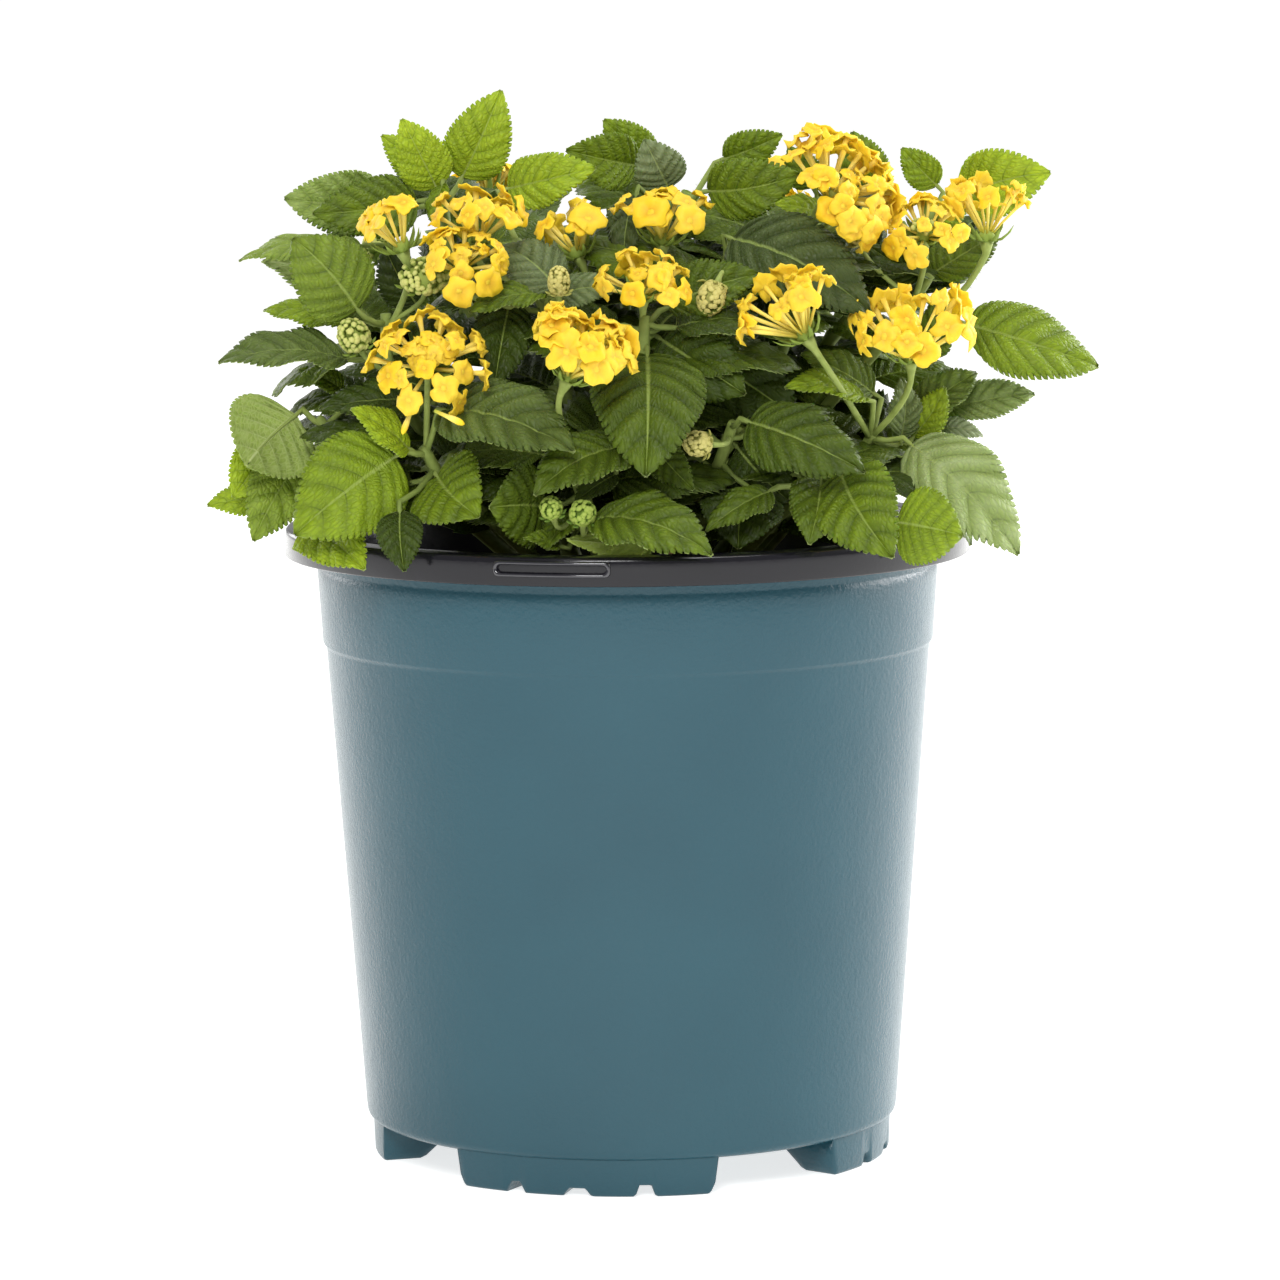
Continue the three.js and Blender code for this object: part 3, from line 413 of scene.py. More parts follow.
# root x and y, path points (x, z, depth), leaves (base x, z, depth, tip x, z, depth, shown width, tone,
# silver), and "turned" where the under side shows
frontShoots = {
    "low_left": ((-22, -8), [(-45, 163, -27), (-65, 173, -35), (-77.5, 186, -36)], [
        (-83, 186.5, -38, -95.5, 174, -48, 25, 0.6, 0, "turned"),
        (-90, 178, -26, -99, 166, -32, 13, 0.8, 0),
        (-88, 166, -14, -105.5, 164, -18, 9, 0.8, 0),
        (-81, 176, -26, -94, 155, -36, 16, 0.66, 0.1),
        (-80, 158, -46, -66, 147.5, -67, 15, 0.76, 0),
        (-71, 193, -30, -82, 198, -30, 6, 0.5, 0),
    ]),
    "front_left": ((-15, -26), [(-34, 160, -44), (-46, 170, -54), (-51, 178.5, -58)], [
        (-58, 176, -62, -83.5, 156.5, -67, 25, 0.65, 0),
        (-45, 187.5, -62, -13, 177, -84, 17, 0.38, 0.08),
        (-47.5, 171, -58, -37, 160.5, -72, 21, 0.55, 0),
        (-54.5, 178, -60, -69, 188, -68, 8, 0.8, 0),
        (-57, 162, -68, -56, 147, -74, 11, 0.22, 0),
    ]),
    "left": ((-25, 6), [(-46, 175, -20), (-59, 197, -36), (-60, 212, -38)], [
        (-67, 213, -42, -83, 231, -38, 20, 0.57, 0.05),
        (-70, 200.5, -38, -102, 200, -44, 9, 0.42, 0.1),
        (-68, 211, -30, -90.5, 213, -26, 7, 0.65, 0),
        (-52, 190, -42, -77, 188, -46, 9, 0.25, 0),
        (-52, 214, -28, -60, 229, -24, 12, 0.12, 0),
        (-52, 194, -34, -65, 196, -32, 7, 0.2, 0),
    ]),
    "top_left": ((-12, 12), [(-26, 185, 2), (-42, 220, -6), (-46, 243.5, -12)], [
        (-47, 243.5, -12, -55.5, 260.5, -14, 13, 0.86, 0),
        (-40.5, 246, -10, -30.5, 267.5, -12, 16, 0.8, 0),
        (-52, 240, -14, -78, 237, -22, 15, 0.5, 0),
        (-60, 240, -2, -85, 241, -4, 16, 0.66, 0.3),
        (-66, 229, -12, -96.5, 225.5, -14, 5, 0.68, 0.2),
        (-49, 245, -4, -60.5, 256.5, -6, 10, 0.82, 0),
        (-45.5, 244, -14, -47.5, 234, -20, 5, 0.6, 0),
    ]),
    "upper_middle": ((-6, -12), [(-12, 180, -30), (-20, 212, -44), (-27, 230, -32)], [
        (-29, 243, -22, -7, 248, -30, 13, 0.78, 0),
        (-17, 218, -53, -31, 228.5, -37, 13, 0.34, 0.3),
        (-29, 214, -44, -33, 193, -56, 14, 0.22, 0),
        (-17, 216, -50, -1.5, 217.5, -54, 8, 0.4, 0.35),
        (-20, 216.5, -52, -39, 212, -58, 6, 0.5, 0),
    ]),
    "centre": ((3, -21), [(4, 175, -46), (4.5, 200, -58), (5, 211, -58)], [
        (5.5, 201, -62, 5, 170.5, -86, 27, 0.38, 0),
        (9, 205, -52, 30, 191, -62, 20, 0.25, 0),
        (11, 213, -51, 34, 221, -50, 13, 0.42, 0),
        (8, 177, -58, 17, 167, -66, 9, 0.36, 0),
    ]),
    "front_low": ((-5, -39), [(-9, 160, -56), (-13, 172, -62), (-14, 180, -66)], [
        (-8, 160, -76, 21.5, 150.5, -91, 14, 0.46, 0),
        (0, 178, -70, -23, 166, -84, 13, 0.42, 0),
        (-21, 163, -58, -34.5, 163, -72, 21, 0.44, 0),
        (-3, 171, -60, -13, 164, -66, 6, 0.25, 0),
        (8, 155.2, -68, -15, 154.8, -74, 7, 1, 0.8, "turned"),
        (-12, 161, -64, -20, 152, -74, 6, 0.5, 0),
        (-17, 153, -70, -26, 155, -74, 4, 0.5, 0),
    ]),
    "top_middle": ((4, 7), [(8, 190, -2), (13, 224, -13), (13, 239, -14)], [
        (3, 248.5, -10, -14.5, 252.5, -16, 14, 0.55, 0),
        (11, 243, -18, 5, 255, -22, 13, 0.4, 0.45),
        (21, 242, -22, 44, 246, -28, 15, 0.54, 0),
        (3, 241, -26, 0, 224.5, -34, 10, 0.22, 0.1),
        (6, 249, -4, -5, 260, -6, 12, 0.65, 0),
        (25, 250, -6, 39.5, 256, -8, 10, 0.58, 0),
    ]),
    "middle_right": ((12, -10), [(20, 185, -28), (26, 212, -38), (26, 228, -36)], [
        (27, 230, -38, 61.5, 211, -50, 20, 0.25, 0.1),
        (20, 200, -36, 44, 184, -44, 18, 0.2, 0),
    ]),
    "upper_right": ((16, 4), [(34, 190, -12), (46, 220, -22), (48, 233, -24)], [
        (47, 243, -12, 41, 253, -14, 9, 0.5, 0),
        (62, 242, -14, 57, 256.5, -12, 13, 0.55, 0),
        (50, 236, -26, 37.5, 238.5, -32, 6, 0.7, 0),
    ]),
    "low_right": ((14, -25), [(20, 165, -42), (25, 178, -52), (27, 184, -56)], [
        (31, 184, -64, 60, 171, -76, 17, 0.34, 0),
        (28, 177.5, -48, 41, 164, -46, 16, 0.22, 0),
        (30, 166, -54, 28, 152, -66, 20, 0.12, 0),
    ]),
    "front_right": ((22, -17), [(38, 160, -36), (47, 168, -48), (51, 173, -54)], [
        (54, 171, -66, 67, 149.5, -84, 21, 0.51, 0),
        (49, 170, -64, 46, 153, -80, 14, 0.42, 0),
        (68, 158.5, -58, 84.5, 155, -56, 19, 0.66, 0),
        (36, 166.5, -62, 20, 156.5, -70, 8, 0.42, 0),
    ]),
    "right": ((25, -5), [(44, 164, -22), (57, 174, -31), (62, 181, -36)], [
        (71.5, 178, -36, 98.5, 150, -42, 19, 0.68, 0.6),
        (62, 191, -34, 44, 201, -36, 9, 0.42, 0),
        (74, 170, -26, 86.5, 152.5, -33, 7, 0.5, 0.8),
        (69, 180, -30, 69, 195, -26, 8, 0.45, 0.3),
        (72, 180, -28, 80, 192.5, -24, 9, 0.75, 0),
        (60, 189.5, -44, 40, 192.5, -54, 6, 0.64, 0),
    ]),
    "top_right": ((20, 13), [(48, 185, -8), (68, 208, -18), (76.5, 220.5, -22)], [
        (86, 208, -20, 118.5, 197.3, -14, 17, 0.62, 0),
        (77, 221, -18, 93.5, 231, -10, 11, 0.5, 0),
        (74, 220, -20, 61, 228, -18, 9, 0.3, 0),
        (76, 200, -24, 84, 217, -20, 10, 0.45, 0),
    ]),
    "far_right": ((29, 6), [(50, 168, -4), (64, 178, -12), (73, 183, -16)], [
        (82, 187, -16, 102.5, 190.5, -14, 10, 0.6, 0.4),
        (73, 186, -22, 88, 196, -16, 10, 0.5, 0.1),
        (79, 182, -22, 89.5, 180, -20, 5, 0.5, 0.8),
    ]),
    "outer_right": ((12, 17), [(44, 195, 4), (66, 222, 0), (78, 237, -6)], [
        (84, 240, -8, 106.5, 246, -12, 17, 0.84, 0),
        (78, 243, -4, 69.3, 252.3, -2, 9, 0.7, 0),
        (78, 233, -10, 86, 238, -8, 6, 0.7, 0),
    ]),
}

# azimuth, reach, height and turn of the upper pair for each shoot of the far half
backShoots = {
    "back_1": (24, 62, 214, 40),
    "back_2": (58, 60, 225, -35),
    "back_3": (90, 64, 218, 55),
    "back_4": (122, 58, 227, 35),
    "back_5": (156, 64, 214, -40),
}
backRule = {
    "steps": (0.6, 0.95), "spread": (52, 88), "lift": (0.05, 0.5), "length": 33, "width": 22,
    "petiole": 9, "droop": 5, "rootShare": 0.48, "route": ((0.58, 0.35), (0.85, 0.75), (1, 1)),
    "tones": (0.35, 0.75), "silvers": (0, 0.2),
}

# shoot, cup (x, z, depth) or none at a far shoot's tip, way it faces, half angle, tube length,
# florets, size, young ones
blooms = {
    "bloom_1": ("left", (-55.5, 227.5, -44), (-0.35, -0.15, 1), 42, 12.5, 8, 0.85, 0),
    "bloom_2": ("front_left", (-49.5, 198, -64), (0.05, -0.7, 0.7), 88, 13, 20, 0.85, 22),
    "bloom_3": ("upper_middle", (-36.5, 229.5, -40), (0.1, -0.3, 1), 52, 13, 13, 0.85, 2),
    "bloom_4": ("upper_middle", (-41, 222.5, -52), (0.14, -0.6, 0.8), 66, 10, 16, 0.85, 4),
    "bloom_5": ("upper_middle", (-11.5, 226, -36), (-0.4, -0.25, 1), 46, 11.5, 7, 0.95, 2),
    "bloom_6": ("centre", (4.5, 215.5, -60), (0, -0.4, 0.9), 72, 11.5, 15, 0.85, 4),
    "bloom_7": ("top_middle", (9.5, 229, -36), (0.05, -0.3, 1), 46, 13.5, 11, 1, 0),
    "bloom_8": ("front_low", (-14.5, 195, -80), (0.42, -0.3, 0.86), 45, 16, 26, 1, 3),
    "bloom_9": ("right", (45.5, 205, -62), (-0.55, -0.2, 0.8), 50, 17, 14, 0.85, 2),
    "bloom_10": ("upper_right", (51, 239.5, -36), (0.6, -0.5, 0.55), 74, 15.5, 32, 0.95, 4),
    "bloom_11": ("top_right", (75, 230, -34), (-0.1, -0.62, 0.78), 76, 9.5, 17, 0.76, 9),
    "bloom_12": ("top_right", (90.5, 229, -24), (0.05, -0.15, 1), 36, 15, 10, 0.75, 2),
    "bloom_13": ("right", (71.5, 199, -50), (-0.05, -0.3, 0.95), 62, 18.5, 17, 0.95, 4),
    "bloom_14": ("back_2", None, (0.3, 0.5, 0.8), 80, 12, 18, 0.9, 8),
    "bloom_15": ("back_3", None, (-0.1, 0.6, 0.8), 75, 12.5, 18, 0.9, 6),
    "bloom_16": ("back_4", None, (-0.35, 0.5, 0.8), 66, 9.5, 18, 0.8, 8),
}
# shoot, cup or none, way it faces, half width, height, buds, how far they stand off
budHeads = {
    "buds_1": ("left", (-50, 219.5, -46), (0, -0.5, 0.85), 6.6, 4.6, 120, 0.6),
    "buds_2": ("left", (-66.5, 203.5, -44), (-0.4, -0.4, 0.8), 4, 7.4, 96, 0.45),
    "buds_3": ("upper_middle", (-16.5, 217, -58), (0, -0.4, 0.9), 2.6, 6.2, 110, 0.08),
    "buds_4": ("middle_right", (23, 218.5, -53), (-0.35, -0.3, -0.85), 3.4, 7.4, 110, 0.1),
    "buds_5": ("low_right", (20.5, 178.5, -68), (-0.9, -0.4, 0.1), 3, 5.6, 110, 0.04),
    "buds_6": ("top_right", (58.5, 229, -32), (-0.4, -0.3, 0.85), 2.7, 5.2, 90, 0.08),
    "buds_7": ("front_low", (-11, 159.5, -79), (0, -0.5, 0.85), 3.1, 4.6, 100, 0.06),
    "buds_8": ("front_low", (-18.5, 161, -78), (-0.2, -0.5, 0.85), 2.6, 4.2, 84, 0.08),
    "buds_9": ("back_5", None, (-0.3, 0.6, 0.75), 3.8, 6.6, 56, 0.5),
}


def onView(x, z, depth):
    near = (depth + eye["distance"]) / eye["distance"]
    return Vector((x * near, depth, eye["height"] + (z - eye["height"]) * near))


def smoothLine(points, steps):
    # centripetal curve through the points
    ends = [points[0] * 2 - points[1]] + points + [points[-1] * 2 - points[-2]]
    line = []
    for i in range(steps + 1):
        share = (len(points) - 1) * i / steps
        start = min(int(share), len(points) - 2)
        t = share - start
        p0, p1, p2, p3 = ends[start:start + 4]
        d0, d1, d2 = [max((b - a).length ** 0.5, 1e-4) for a, b in ((p0, p1), (p1, p2), (p2, p3))]
        m1 = ((p1 - p0) / d0 - (p2 - p0) / (d0 + d1) + (p2 - p1) / d1) * d1
        m2 = ((p2 - p1) / d1 - (p3 - p1) / (d1 + d2) + (p3 - p2) / d2) * d1
        rise = p1 * -3 + p2 * 3 - m1 * 2 - m2
        line.append(p1 + m1 * t + rise * t ** 2 + (p1 * 2 - p2 * 2 + m1 + m2) * t ** 3)
    return line


def stemLine(root, points):
    collar = Vector((*root, mixTop + stemForm["collar"]))
    return [Vector((*root, mixTop - stemForm["depth"]))] + smoothLine([collar] + points, stemForm["steps"])


def nearestOn(line, target):
    return min(line[len(line) // 3:-1], key=lambda p: (p - target).length)


# Leaves

leafForm = {
    "toothDepth": 0.036, "toothed": (0.02, 0.95), "fewestTeeth": 9, "usualLength": 34, "thickness": 0.42,
    "arch": 0.09, "fold": 0.12, "leanest": 0.6,
    "quilt": 0.042, "groove": 0.35, "wave": 0.045, "splay": 0.004, "veinLean": 0.47,
    "outer": {
        "teeth": 21,
        "across": (0, 0.06, 0.26, 0.5, 0.74, 0.91, 1),
        "toothSteps": ((0, -0.6, -0.1), (0.42, 0.42, 0.1), (0.8, 0.4, 0.48)),  # step, out, forward
    },
    "inner": {
        "teeth": 15,
        "across": (0, 0.1, 0.42, 0.75, 1),
        "toothSteps": ((0, -0.6, -0.1), (0.7, 0.6, 0.6)),
    },
}
petioleForm = {
    "radius": 0.75, "baseRadius": 0.95, "knee": 2.5, "sides": 6,
    "rib": ((0.02, 0.62), (0.15, 0.52), (0.3, 0.44), (0.5, 0.34), (0.7, 0.25), (0.88, 0.15)),  # place, radius
}


def ovate(t):
    return 2.22 * t ** 0.42 * np.maximum(1 - t, 0) ** 0.83


def facingFromWidth(base, tip, shown, width):
    along = (tip - base).normalized()
    toEye = (Vector((0, -eye["distance"], eye["height"])) - base).normalized()
    facing = (toEye - along * toEye.dot(along)).normalized()
    aside = facing.cross(along)
    if aside.dot(Vector((leafForm["splay"] * base.x, 0, 1))) < 0:
        aside.negate()
    turn = math.acos(min(1, shown / width))
    return facing * math.cos(turn) + aside * math.sin(turn)


def addLeaf(parts, leaf, line, rng):
    base, tip, width, facing = leaf["base"], leaf["tip"], leaf["width"], leaf["facing"]
    length = (tip - base).length
    along = (tip - base).normalized()
    up = (facing - along * facing.dot(along)).normalized()
    side = along.cross(up)
    grid = leafForm[leaf["grid"]]
    teeth = max(leafForm["fewestTeeth"], round(grid["teeth"] * (length / leafForm["usualLength"]) ** 0.4))
    first, toothed = leafForm["toothed"]
    stations = [(0, 0, 0)]  # share of the blade's length, how far the edge stands out and forward
    for k in range(teeth):
        for step, out, forward in grid["toothSteps"]:
            stations.append((first + toothed * (k + step) / teeth, out, forward))
    stations.append((1, 0, 0))
    t, out, forward = (np.array(column, float)[:, None] for column in zip(*stations))
    toothing = np.clip(t / 0.16, 0, 1) ** 1.5 * np.clip((1 - t) / 0.22, 0, 1) ** 0.8  # less at both ends
    out = out * toothing * leafForm["toothDepth"] * length
    forward = forward * toothing * leafForm["toothDepth"]
    u = np.array(sorted({-a for a in grid["across"]} | set(grid["across"])))[None, :]
    share = np.abs(u)
    half = np.maximum(width / 2 * ovate(t), np.where(t < 0.5, petioleForm["radius"], 0.2))
    edge = np.clip((share - 0.8) / 0.2, 0, 1) ** 1.5
    a = t ** 2.1 + (t - t ** 2.1) * share ** 1.4 + forward * edge  # rows sweep forward like the side veins
    y = u * half + np.sign(u) * out * edge

    # arched, folded up along the midrib, puffed between the side veins and wavy at the edge
    arch = leafForm["arch"] * rng.uniform(0.8, 1.3)
    fold = leafForm["fold"] * rng.uniform(0.6, 1.7)
    curl = rng.uniform(0.0, 0.22)
    wave = leafForm["wave"] * length * rng.uniform(0.35, 1)
    twist = rng.uniform(-0.22, 0.22)
    quilt = leafForm["quilt"] * length * rng.uniform(0.75, 1.25) * (1.25 - 0.75 * leaf["tone"])
    swell = np.abs(np.sin(math.pi * leafLook["veins"] * t)) ** 0.6 - 0.35
    z = length * arch * 4 * a * (1 - a) + fold * np.abs(y)
    z = z + quilt * swell * share ** 0.5 * (1 - share) ** 0.35 * 1.7
    z = z - leafForm["groove"] * np.exp(-(np.abs(y) / 0.55) ** 2) * np.clip(half / 3, 0, 1)
    z = z - curl * share ** 3 * half
    ripple = rng.uniform(1.5, 2.6)
    for way in (-1, 1):
        phase = rng.uniform(0, 6.3)
        swing = np.sin(2 * math.pi * ripple * t + phase) * share ** 2.2 * np.clip(half / (width / 2), 0, 1)
        z = z + np.where(np.sign(u) == way, wave * swing, 0)
    turned = twist * (a - 0.5)
    y, z = y * np.cos(turned) - z * np.sin(turned) * 0.3, z + y * np.sin(turned)
    y = y + length * leaf["bend"] * 4 * a * (1 - a)
    z = z + leafForm["thickness"] / 2

    upper = np.array(base) + np.array(along) * (a * length)[..., None]
    upper = upper + np.array(side) * y[..., None] + np.array(up) * z[..., None]
    shape = rows, columns = upper.shape[:2]
    normal = np.cross(np.gradient(upper, axis=1), np.gradient(upper, axis=0))
    normal /= np.maximum(np.linalg.norm(normal, axis=2, keepdims=True), 1e-9)
    thickness = leafForm["thickness"] * (1 - 0.45 * share ** 4)[..., None]
    under = upper - normal * thickness
    uv = np.stack([np.broadcast_to(0.5 + 0.5 * u, shape), np.broadcast_to(t, shape)], axis=2)

    total = rows * columns
    faces, materials = [], []
    for i in range(rows - 1):
        for j in range(columns - 1):
            k = i * columns + j
            faces.append((k, k + 1, k + 1 + columns, k + columns))
            faces.append((k + total, k + columns + total, k + 1 + columns + total, k + 1 + total))
            materials += [1, 2]
    rim = list(range(columns)) + [i * columns + columns - 1 for i in range(1, rows)]
    rim += [total - 2 - j for j in range(columns - 1)] + [i * columns for i in range(rows - 2, 0, -1)]
    for k, here in enumerate(rim):
        after = rim[(k + 1) % len(rim)]
        faces.append((after, here, here + total, after + total))
        materials.append(2)
    points = np.concatenate([upper.reshape(-1, 3), under.reshape(-1, 3)])
    both = np.concatenate([uv.reshape(-1, 2)] * 2)
    shift = rng.uniform(0, 90)
    toVeins = np.abs(y) + leafForm["veinLean"] * t * length + shift
    size = np.stack([toVeins, np.broadcast_to(t * length, shape)], axis=2)
    sizes = np.concatenate([size.reshape(-1, 2)] * 2)
    addPart(parts, points, faces, materials, both, leaf["tone"], leaf["silver"], size=sizes)

    # petiole from the stem, running on as the midrib below the blade
    middle = columns // 2
    start = nearestOn(line, base)
    knee = base - along * petioleForm["knee"] - up * 0.2
    halfWay = (start + knee) / 2 - Vector((0, 0, 0.08)) * (knee - start).length
    tubeLine = [start, halfWay, knee]
    radii = [petioleForm["baseRadius"], petioleForm["radius"], petioleForm["radius"]]
    for step, radius in petioleForm["rib"]:
        tubeLine.append(Vector(under[round(step * (rows - 1)), middle]) + up * 0.12)
        radii.append(radius)
    addTube(parts, tubeLine, radii, petioleForm["sides"], tone=0.35 + 0.5 * leaf["tone"])


def newLeaf(base, tip, width, facing, tone, silver, rng, bend=0.05, grid="outer"):
    return {"base": base, "tip": tip, "width": width, "facing": facing, "tone": tone, "silver": silver,
            "bend": rng.uniform(-bend, bend), "grid": grid}


def frontLeaf(row, rng):
    base, tip = onView(*row[:3]), onView(*row[3:6])
    width = max(row[6], leafForm["leanest"] * (tip - base).length)
    facing = facingFromWidth(base, tip, row[6], width) * (-1 if "turned" in row else 1)
    return newLeaf(base, tip, width, facing, row[7], row[8], rng)


def backLeaves(azimuth, turn, line, rng):
    outward = Vector((math.cos(azimuth), math.sin(azimuth), 0))
    leaves = []
    for pair, step in enumerate(backRule["steps"]):
        for way in (1, -1):
            swing = math.radians(way * backRule["spread"][pair] + pair * turn)
            away = Matrix.Rotation(swing, 3, "Z") @ outward
            away.z = backRule["lift"][pair]
            away.normalize()
            joint = line[1 + round((step - 0.2) / 0.8 * stemForm["steps"])]
            base = joint + away * backRule["petiole"]
            tip = base + away * backRule["length"] - Vector((0, 0, backRule["droop"]))
            facing = outward * 0.5 + Vector((0, 0, 1))
            tone, silver = rng.uniform(*backRule["tones"]), rng.uniform(*backRule["silvers"])
            leaves.append(newLeaf(base, tip, backRule["width"], facing, tone, silver, rng))
    return leaves


# Inner leaves: pairs at the joints of each stem, that point away from the front and stay inside the crown

innerRule = {
    "joints": (0.2, 0.32, 0.44, 0.56, 0.68, 0.8, 0.9), "length": (24, 34), "widthShare": 0.68, "petiole": 8,
    "lift": (-0.1, 0.45), "tones": (0.18, 0.5), "droop": (2, 9), "lowest": 150, "bend": 0.06,
}
crown = (  # the crown's outline on the front elevation, x and z
    (-98, 152), (-101, 168), (-90, 178), (-98, 200), (-84, 224), (-80, 240), (-58, 250), (-48, 262),
    (-32, 262), (-22, 246), (-6, 256), (12, 252), (40, 252), (62, 252), (84, 246), (100, 244), (90, 222),
    (106, 200), (96, 186), (94, 160), (84, 150), (40, 146), (-40, 146),
)


def isInCrown(point):
    near = (point.y + eye["distance"]) / eye["distance"]
    x, z = point.x / near, eye["height"] + (point.z - eye["height"]) / near
    inside = False
    for (ax, az), (bx, bz) in zip(crown, crown[1:] + crown[:1]):
        if (az > z) != (bz > z) and x < ax + (z - az) / (bz - az) * (bx - ax):
            inside = not inside
    return inside


def innerLeaves(line, rng):
    leaves = []
    start = rng.uniform(0, 3.14)
    for number, joint in enumerate(innerRule["joints"]):
        place = line[1 + round(joint * stemForm["steps"])]
        for half in (0, 1):
            angle = start + math.pi * half + math.pi / 2 * number + rng.uniform(-0.35, 0.35)
            away = Vector((math.cos(angle), abs(math.sin(angle)) * 0.9 + 0.12, 0)).normalized()
            away.z = rng.uniform(*innerRule["lift"])
            away.normalize()
            length = rng.uniform(*innerRule["length"])
            base = place + away * innerRule["petiole"]
            tip = base + away * length - Vector((0, 0, rng.uniform(*innerRule["droop"])))
            tone = rng.uniform(*innerRule["tones"])
            if min(base.z, tip.z) > innerRule["lowest"] and isInCrown(base) and isInCrown(tip):
                facing = Vector((0, -0.5, 1)) + away * 0.4 + Vector((rng.uniform(-0.4, 0.4), 0, 0))
                width = innerRule["widthShare"] * length
                leaves.append(newLeaf(base, tip, width, facing, tone, 0, rng, innerRule["bend"], "inner"))
    return leaves


def frontShoot(rng, root, path, rows):
    return stemLine(root, [onView(*p) for p in path]), [frontLeaf(row, rng) for row in rows]


def backShoot(rng, azimuth, reach, height, turn):
    angle = math.radians(azimuth)
    out = Vector((reach * math.cos(angle), reach * math.sin(angle), 0))
    points = []
    for share, rise in backRule["route"]:
        points.append(out * share + Vector((0, 0, mixTop + (height - mixTop) * rise)))
    line = stemLine((out * backRule["rootShare"])[:2], points)
    return line, backLeaves(angle, turn, line, rng)


shoots = {}
for makeLine, table in ((frontShoot, frontShoots), (backShoot, backShoots)):
    for name, row in table.items():
        rng = random.Random("lantana " + name)
        line, leaves = makeLine(rng, *row)
        shoots[name] = {"line": line, "leaves": leaves + innerLeaves(line, rng), "rng": rng}

bloomCup = {"height": 3.4, "topRadius": 1.9, "neckRadius": 0.95, "stalkRadius": 0.8, "reach": 16}
budCup = {"height": 2.2, "topRadius": 1.2, "neckRadius": 0.7, "stalkRadius": 0.62, "reach": 8}
stalkRoutes = {"bloom_12": ((66, 205, -18), (82.5, 209, -22))}  # where it leaves the stem, what it bends to
tipToHead = 14  # from the end of a far stem to its head


def headPlace(shoot, place, way):
    way = Vector(way).normalized()
    return (onView(*place) if place else shoots[shoot]["line"][-1] + way * tipToHead), way


def addStalk(parts, line, name, place, way, cup):
    neck = place - way * cup["height"]
    start = nearestOn(line, neck - (way * 0.3 + Vector((0, 0, 0.8))) * cup["reach"])
    bend = neck - way * (0.28 * (neck - start).length)
    if name in stalkRoutes:
        start, bend = nearestOn(line, onView(*stalkRoutes[name][0])), onView(*stalkRoutes[name][1])
    stalk = []
    for i in range(9):
        t = i / 8
        stalk.append(start * (1 - t) ** 2 + bend * (2 * t * (1 - t)) + neck * t ** 2)
    stalk += [neck.lerp(place, 0.6), place]
    radii = [cup["stalkRadius"]] * 8 + [cup["neckRadius"], cup["topRadius"] * 0.8, cup["topRadius"]]
    addTube(parts, stalk, radii, 7, tone=0.75)


def makeShoot(name, shoot):
    parts = newParts()
    line = shoot["line"]
    steps = len(line) - 1
    taper = stemForm["tipRadius"] - stemForm["baseRadius"]
    radii = [stemForm["baseRadius"] + taper * i / steps for i in range(steps + 1)]
    addTube(parts, line, radii, stemForm["sides"], tone=0.55, ridge=stemForm["ridge"])
    for table, cup in ((blooms, bloomCup), (budHeads, budCup)):
        for head, row in table.items():
            if row[0] == name:
                addStalk(parts, line, head, *headPlace(*row[:3]), cup)
    for leaf in shoot["leaves"]:
        addLeaf(parts, leaf, line, shoot["rng"])
    mesh = makeMesh("leafyShoot_" + name, parts, [stemGreen, leafUpper, leafUnder])
    return showPiece("leafyShoot_" + name, mesh, "shoot_" + name)


shootPieces = [makeShoot(name, shoot) for name, shoot in shoots.items()]
print("shoots ready:", sum(len(shoot["leaves"]) for shoot in shoots.values()), "leaves")


# Florets: each a slim tube that opens in a flat ruffled limb of four or five lobes

floretForm = {"tube": 11.2, "limb": 4.15}
floretKinds = [  # lobes, size of the limb, bend of the tube, ruffle, how far the limb leans
    {"lobes": 4, "limb": 1.0, "bend": 0.3, "ruffle": 0.75, "lean": 0.3},
    {"lobes": 5, "limb": 1.1, "bend": 0.15, "ruffle": 0.6, "lean": -0.25},
    {"lobes": 4, "limb": 0.85, "bend": 0.45, "ruffle": 0.9, "lean": 0.4},
    {"lobes": 4, "limb": 0.95, "bend": -0.2, "ruffle": 0.8, "lean": 0.15},
]


def straight(radius, theta, part):
    return radius, 0


def addTurned(parts, rings, sides, shape=straight, bend=0, top=None, **looks):
    # rings of (radius, height, part) about +Z, on an arc, with a shape that moves each point
    points = []
    top = top or rings[-1][1]
    for radius, height, part in rings:
        angle = bend * height / top
        centre = Vector((height * math.sin(angle / 2), 0, height * math.cos(angle / 2)))
        for k in range(sides):
            theta = 2 * math.pi * k / sides
            r, lift = shape(radius, theta, part)
            x = r * math.cos(theta)
            local = Vector((x * math.cos(angle) + lift * math.sin(angle), r * math.sin(theta),
                            lift * math.cos(angle) - x * math.sin(angle)))
            points.append(centre + local)
    shares = np.repeat([ring[2] for ring in rings], sides)
    addPart(parts, points, ringFaces(len(rings), sides), part=shares, **looks)


def makeSource(name, parts, material):
    # something that is set out many times, and isn't shown itself
    made = bpy.data.objects.new(name, makeMesh(name, parts, [material], False))
    made.hide_render = True
    made.hide_viewport = True
    return made


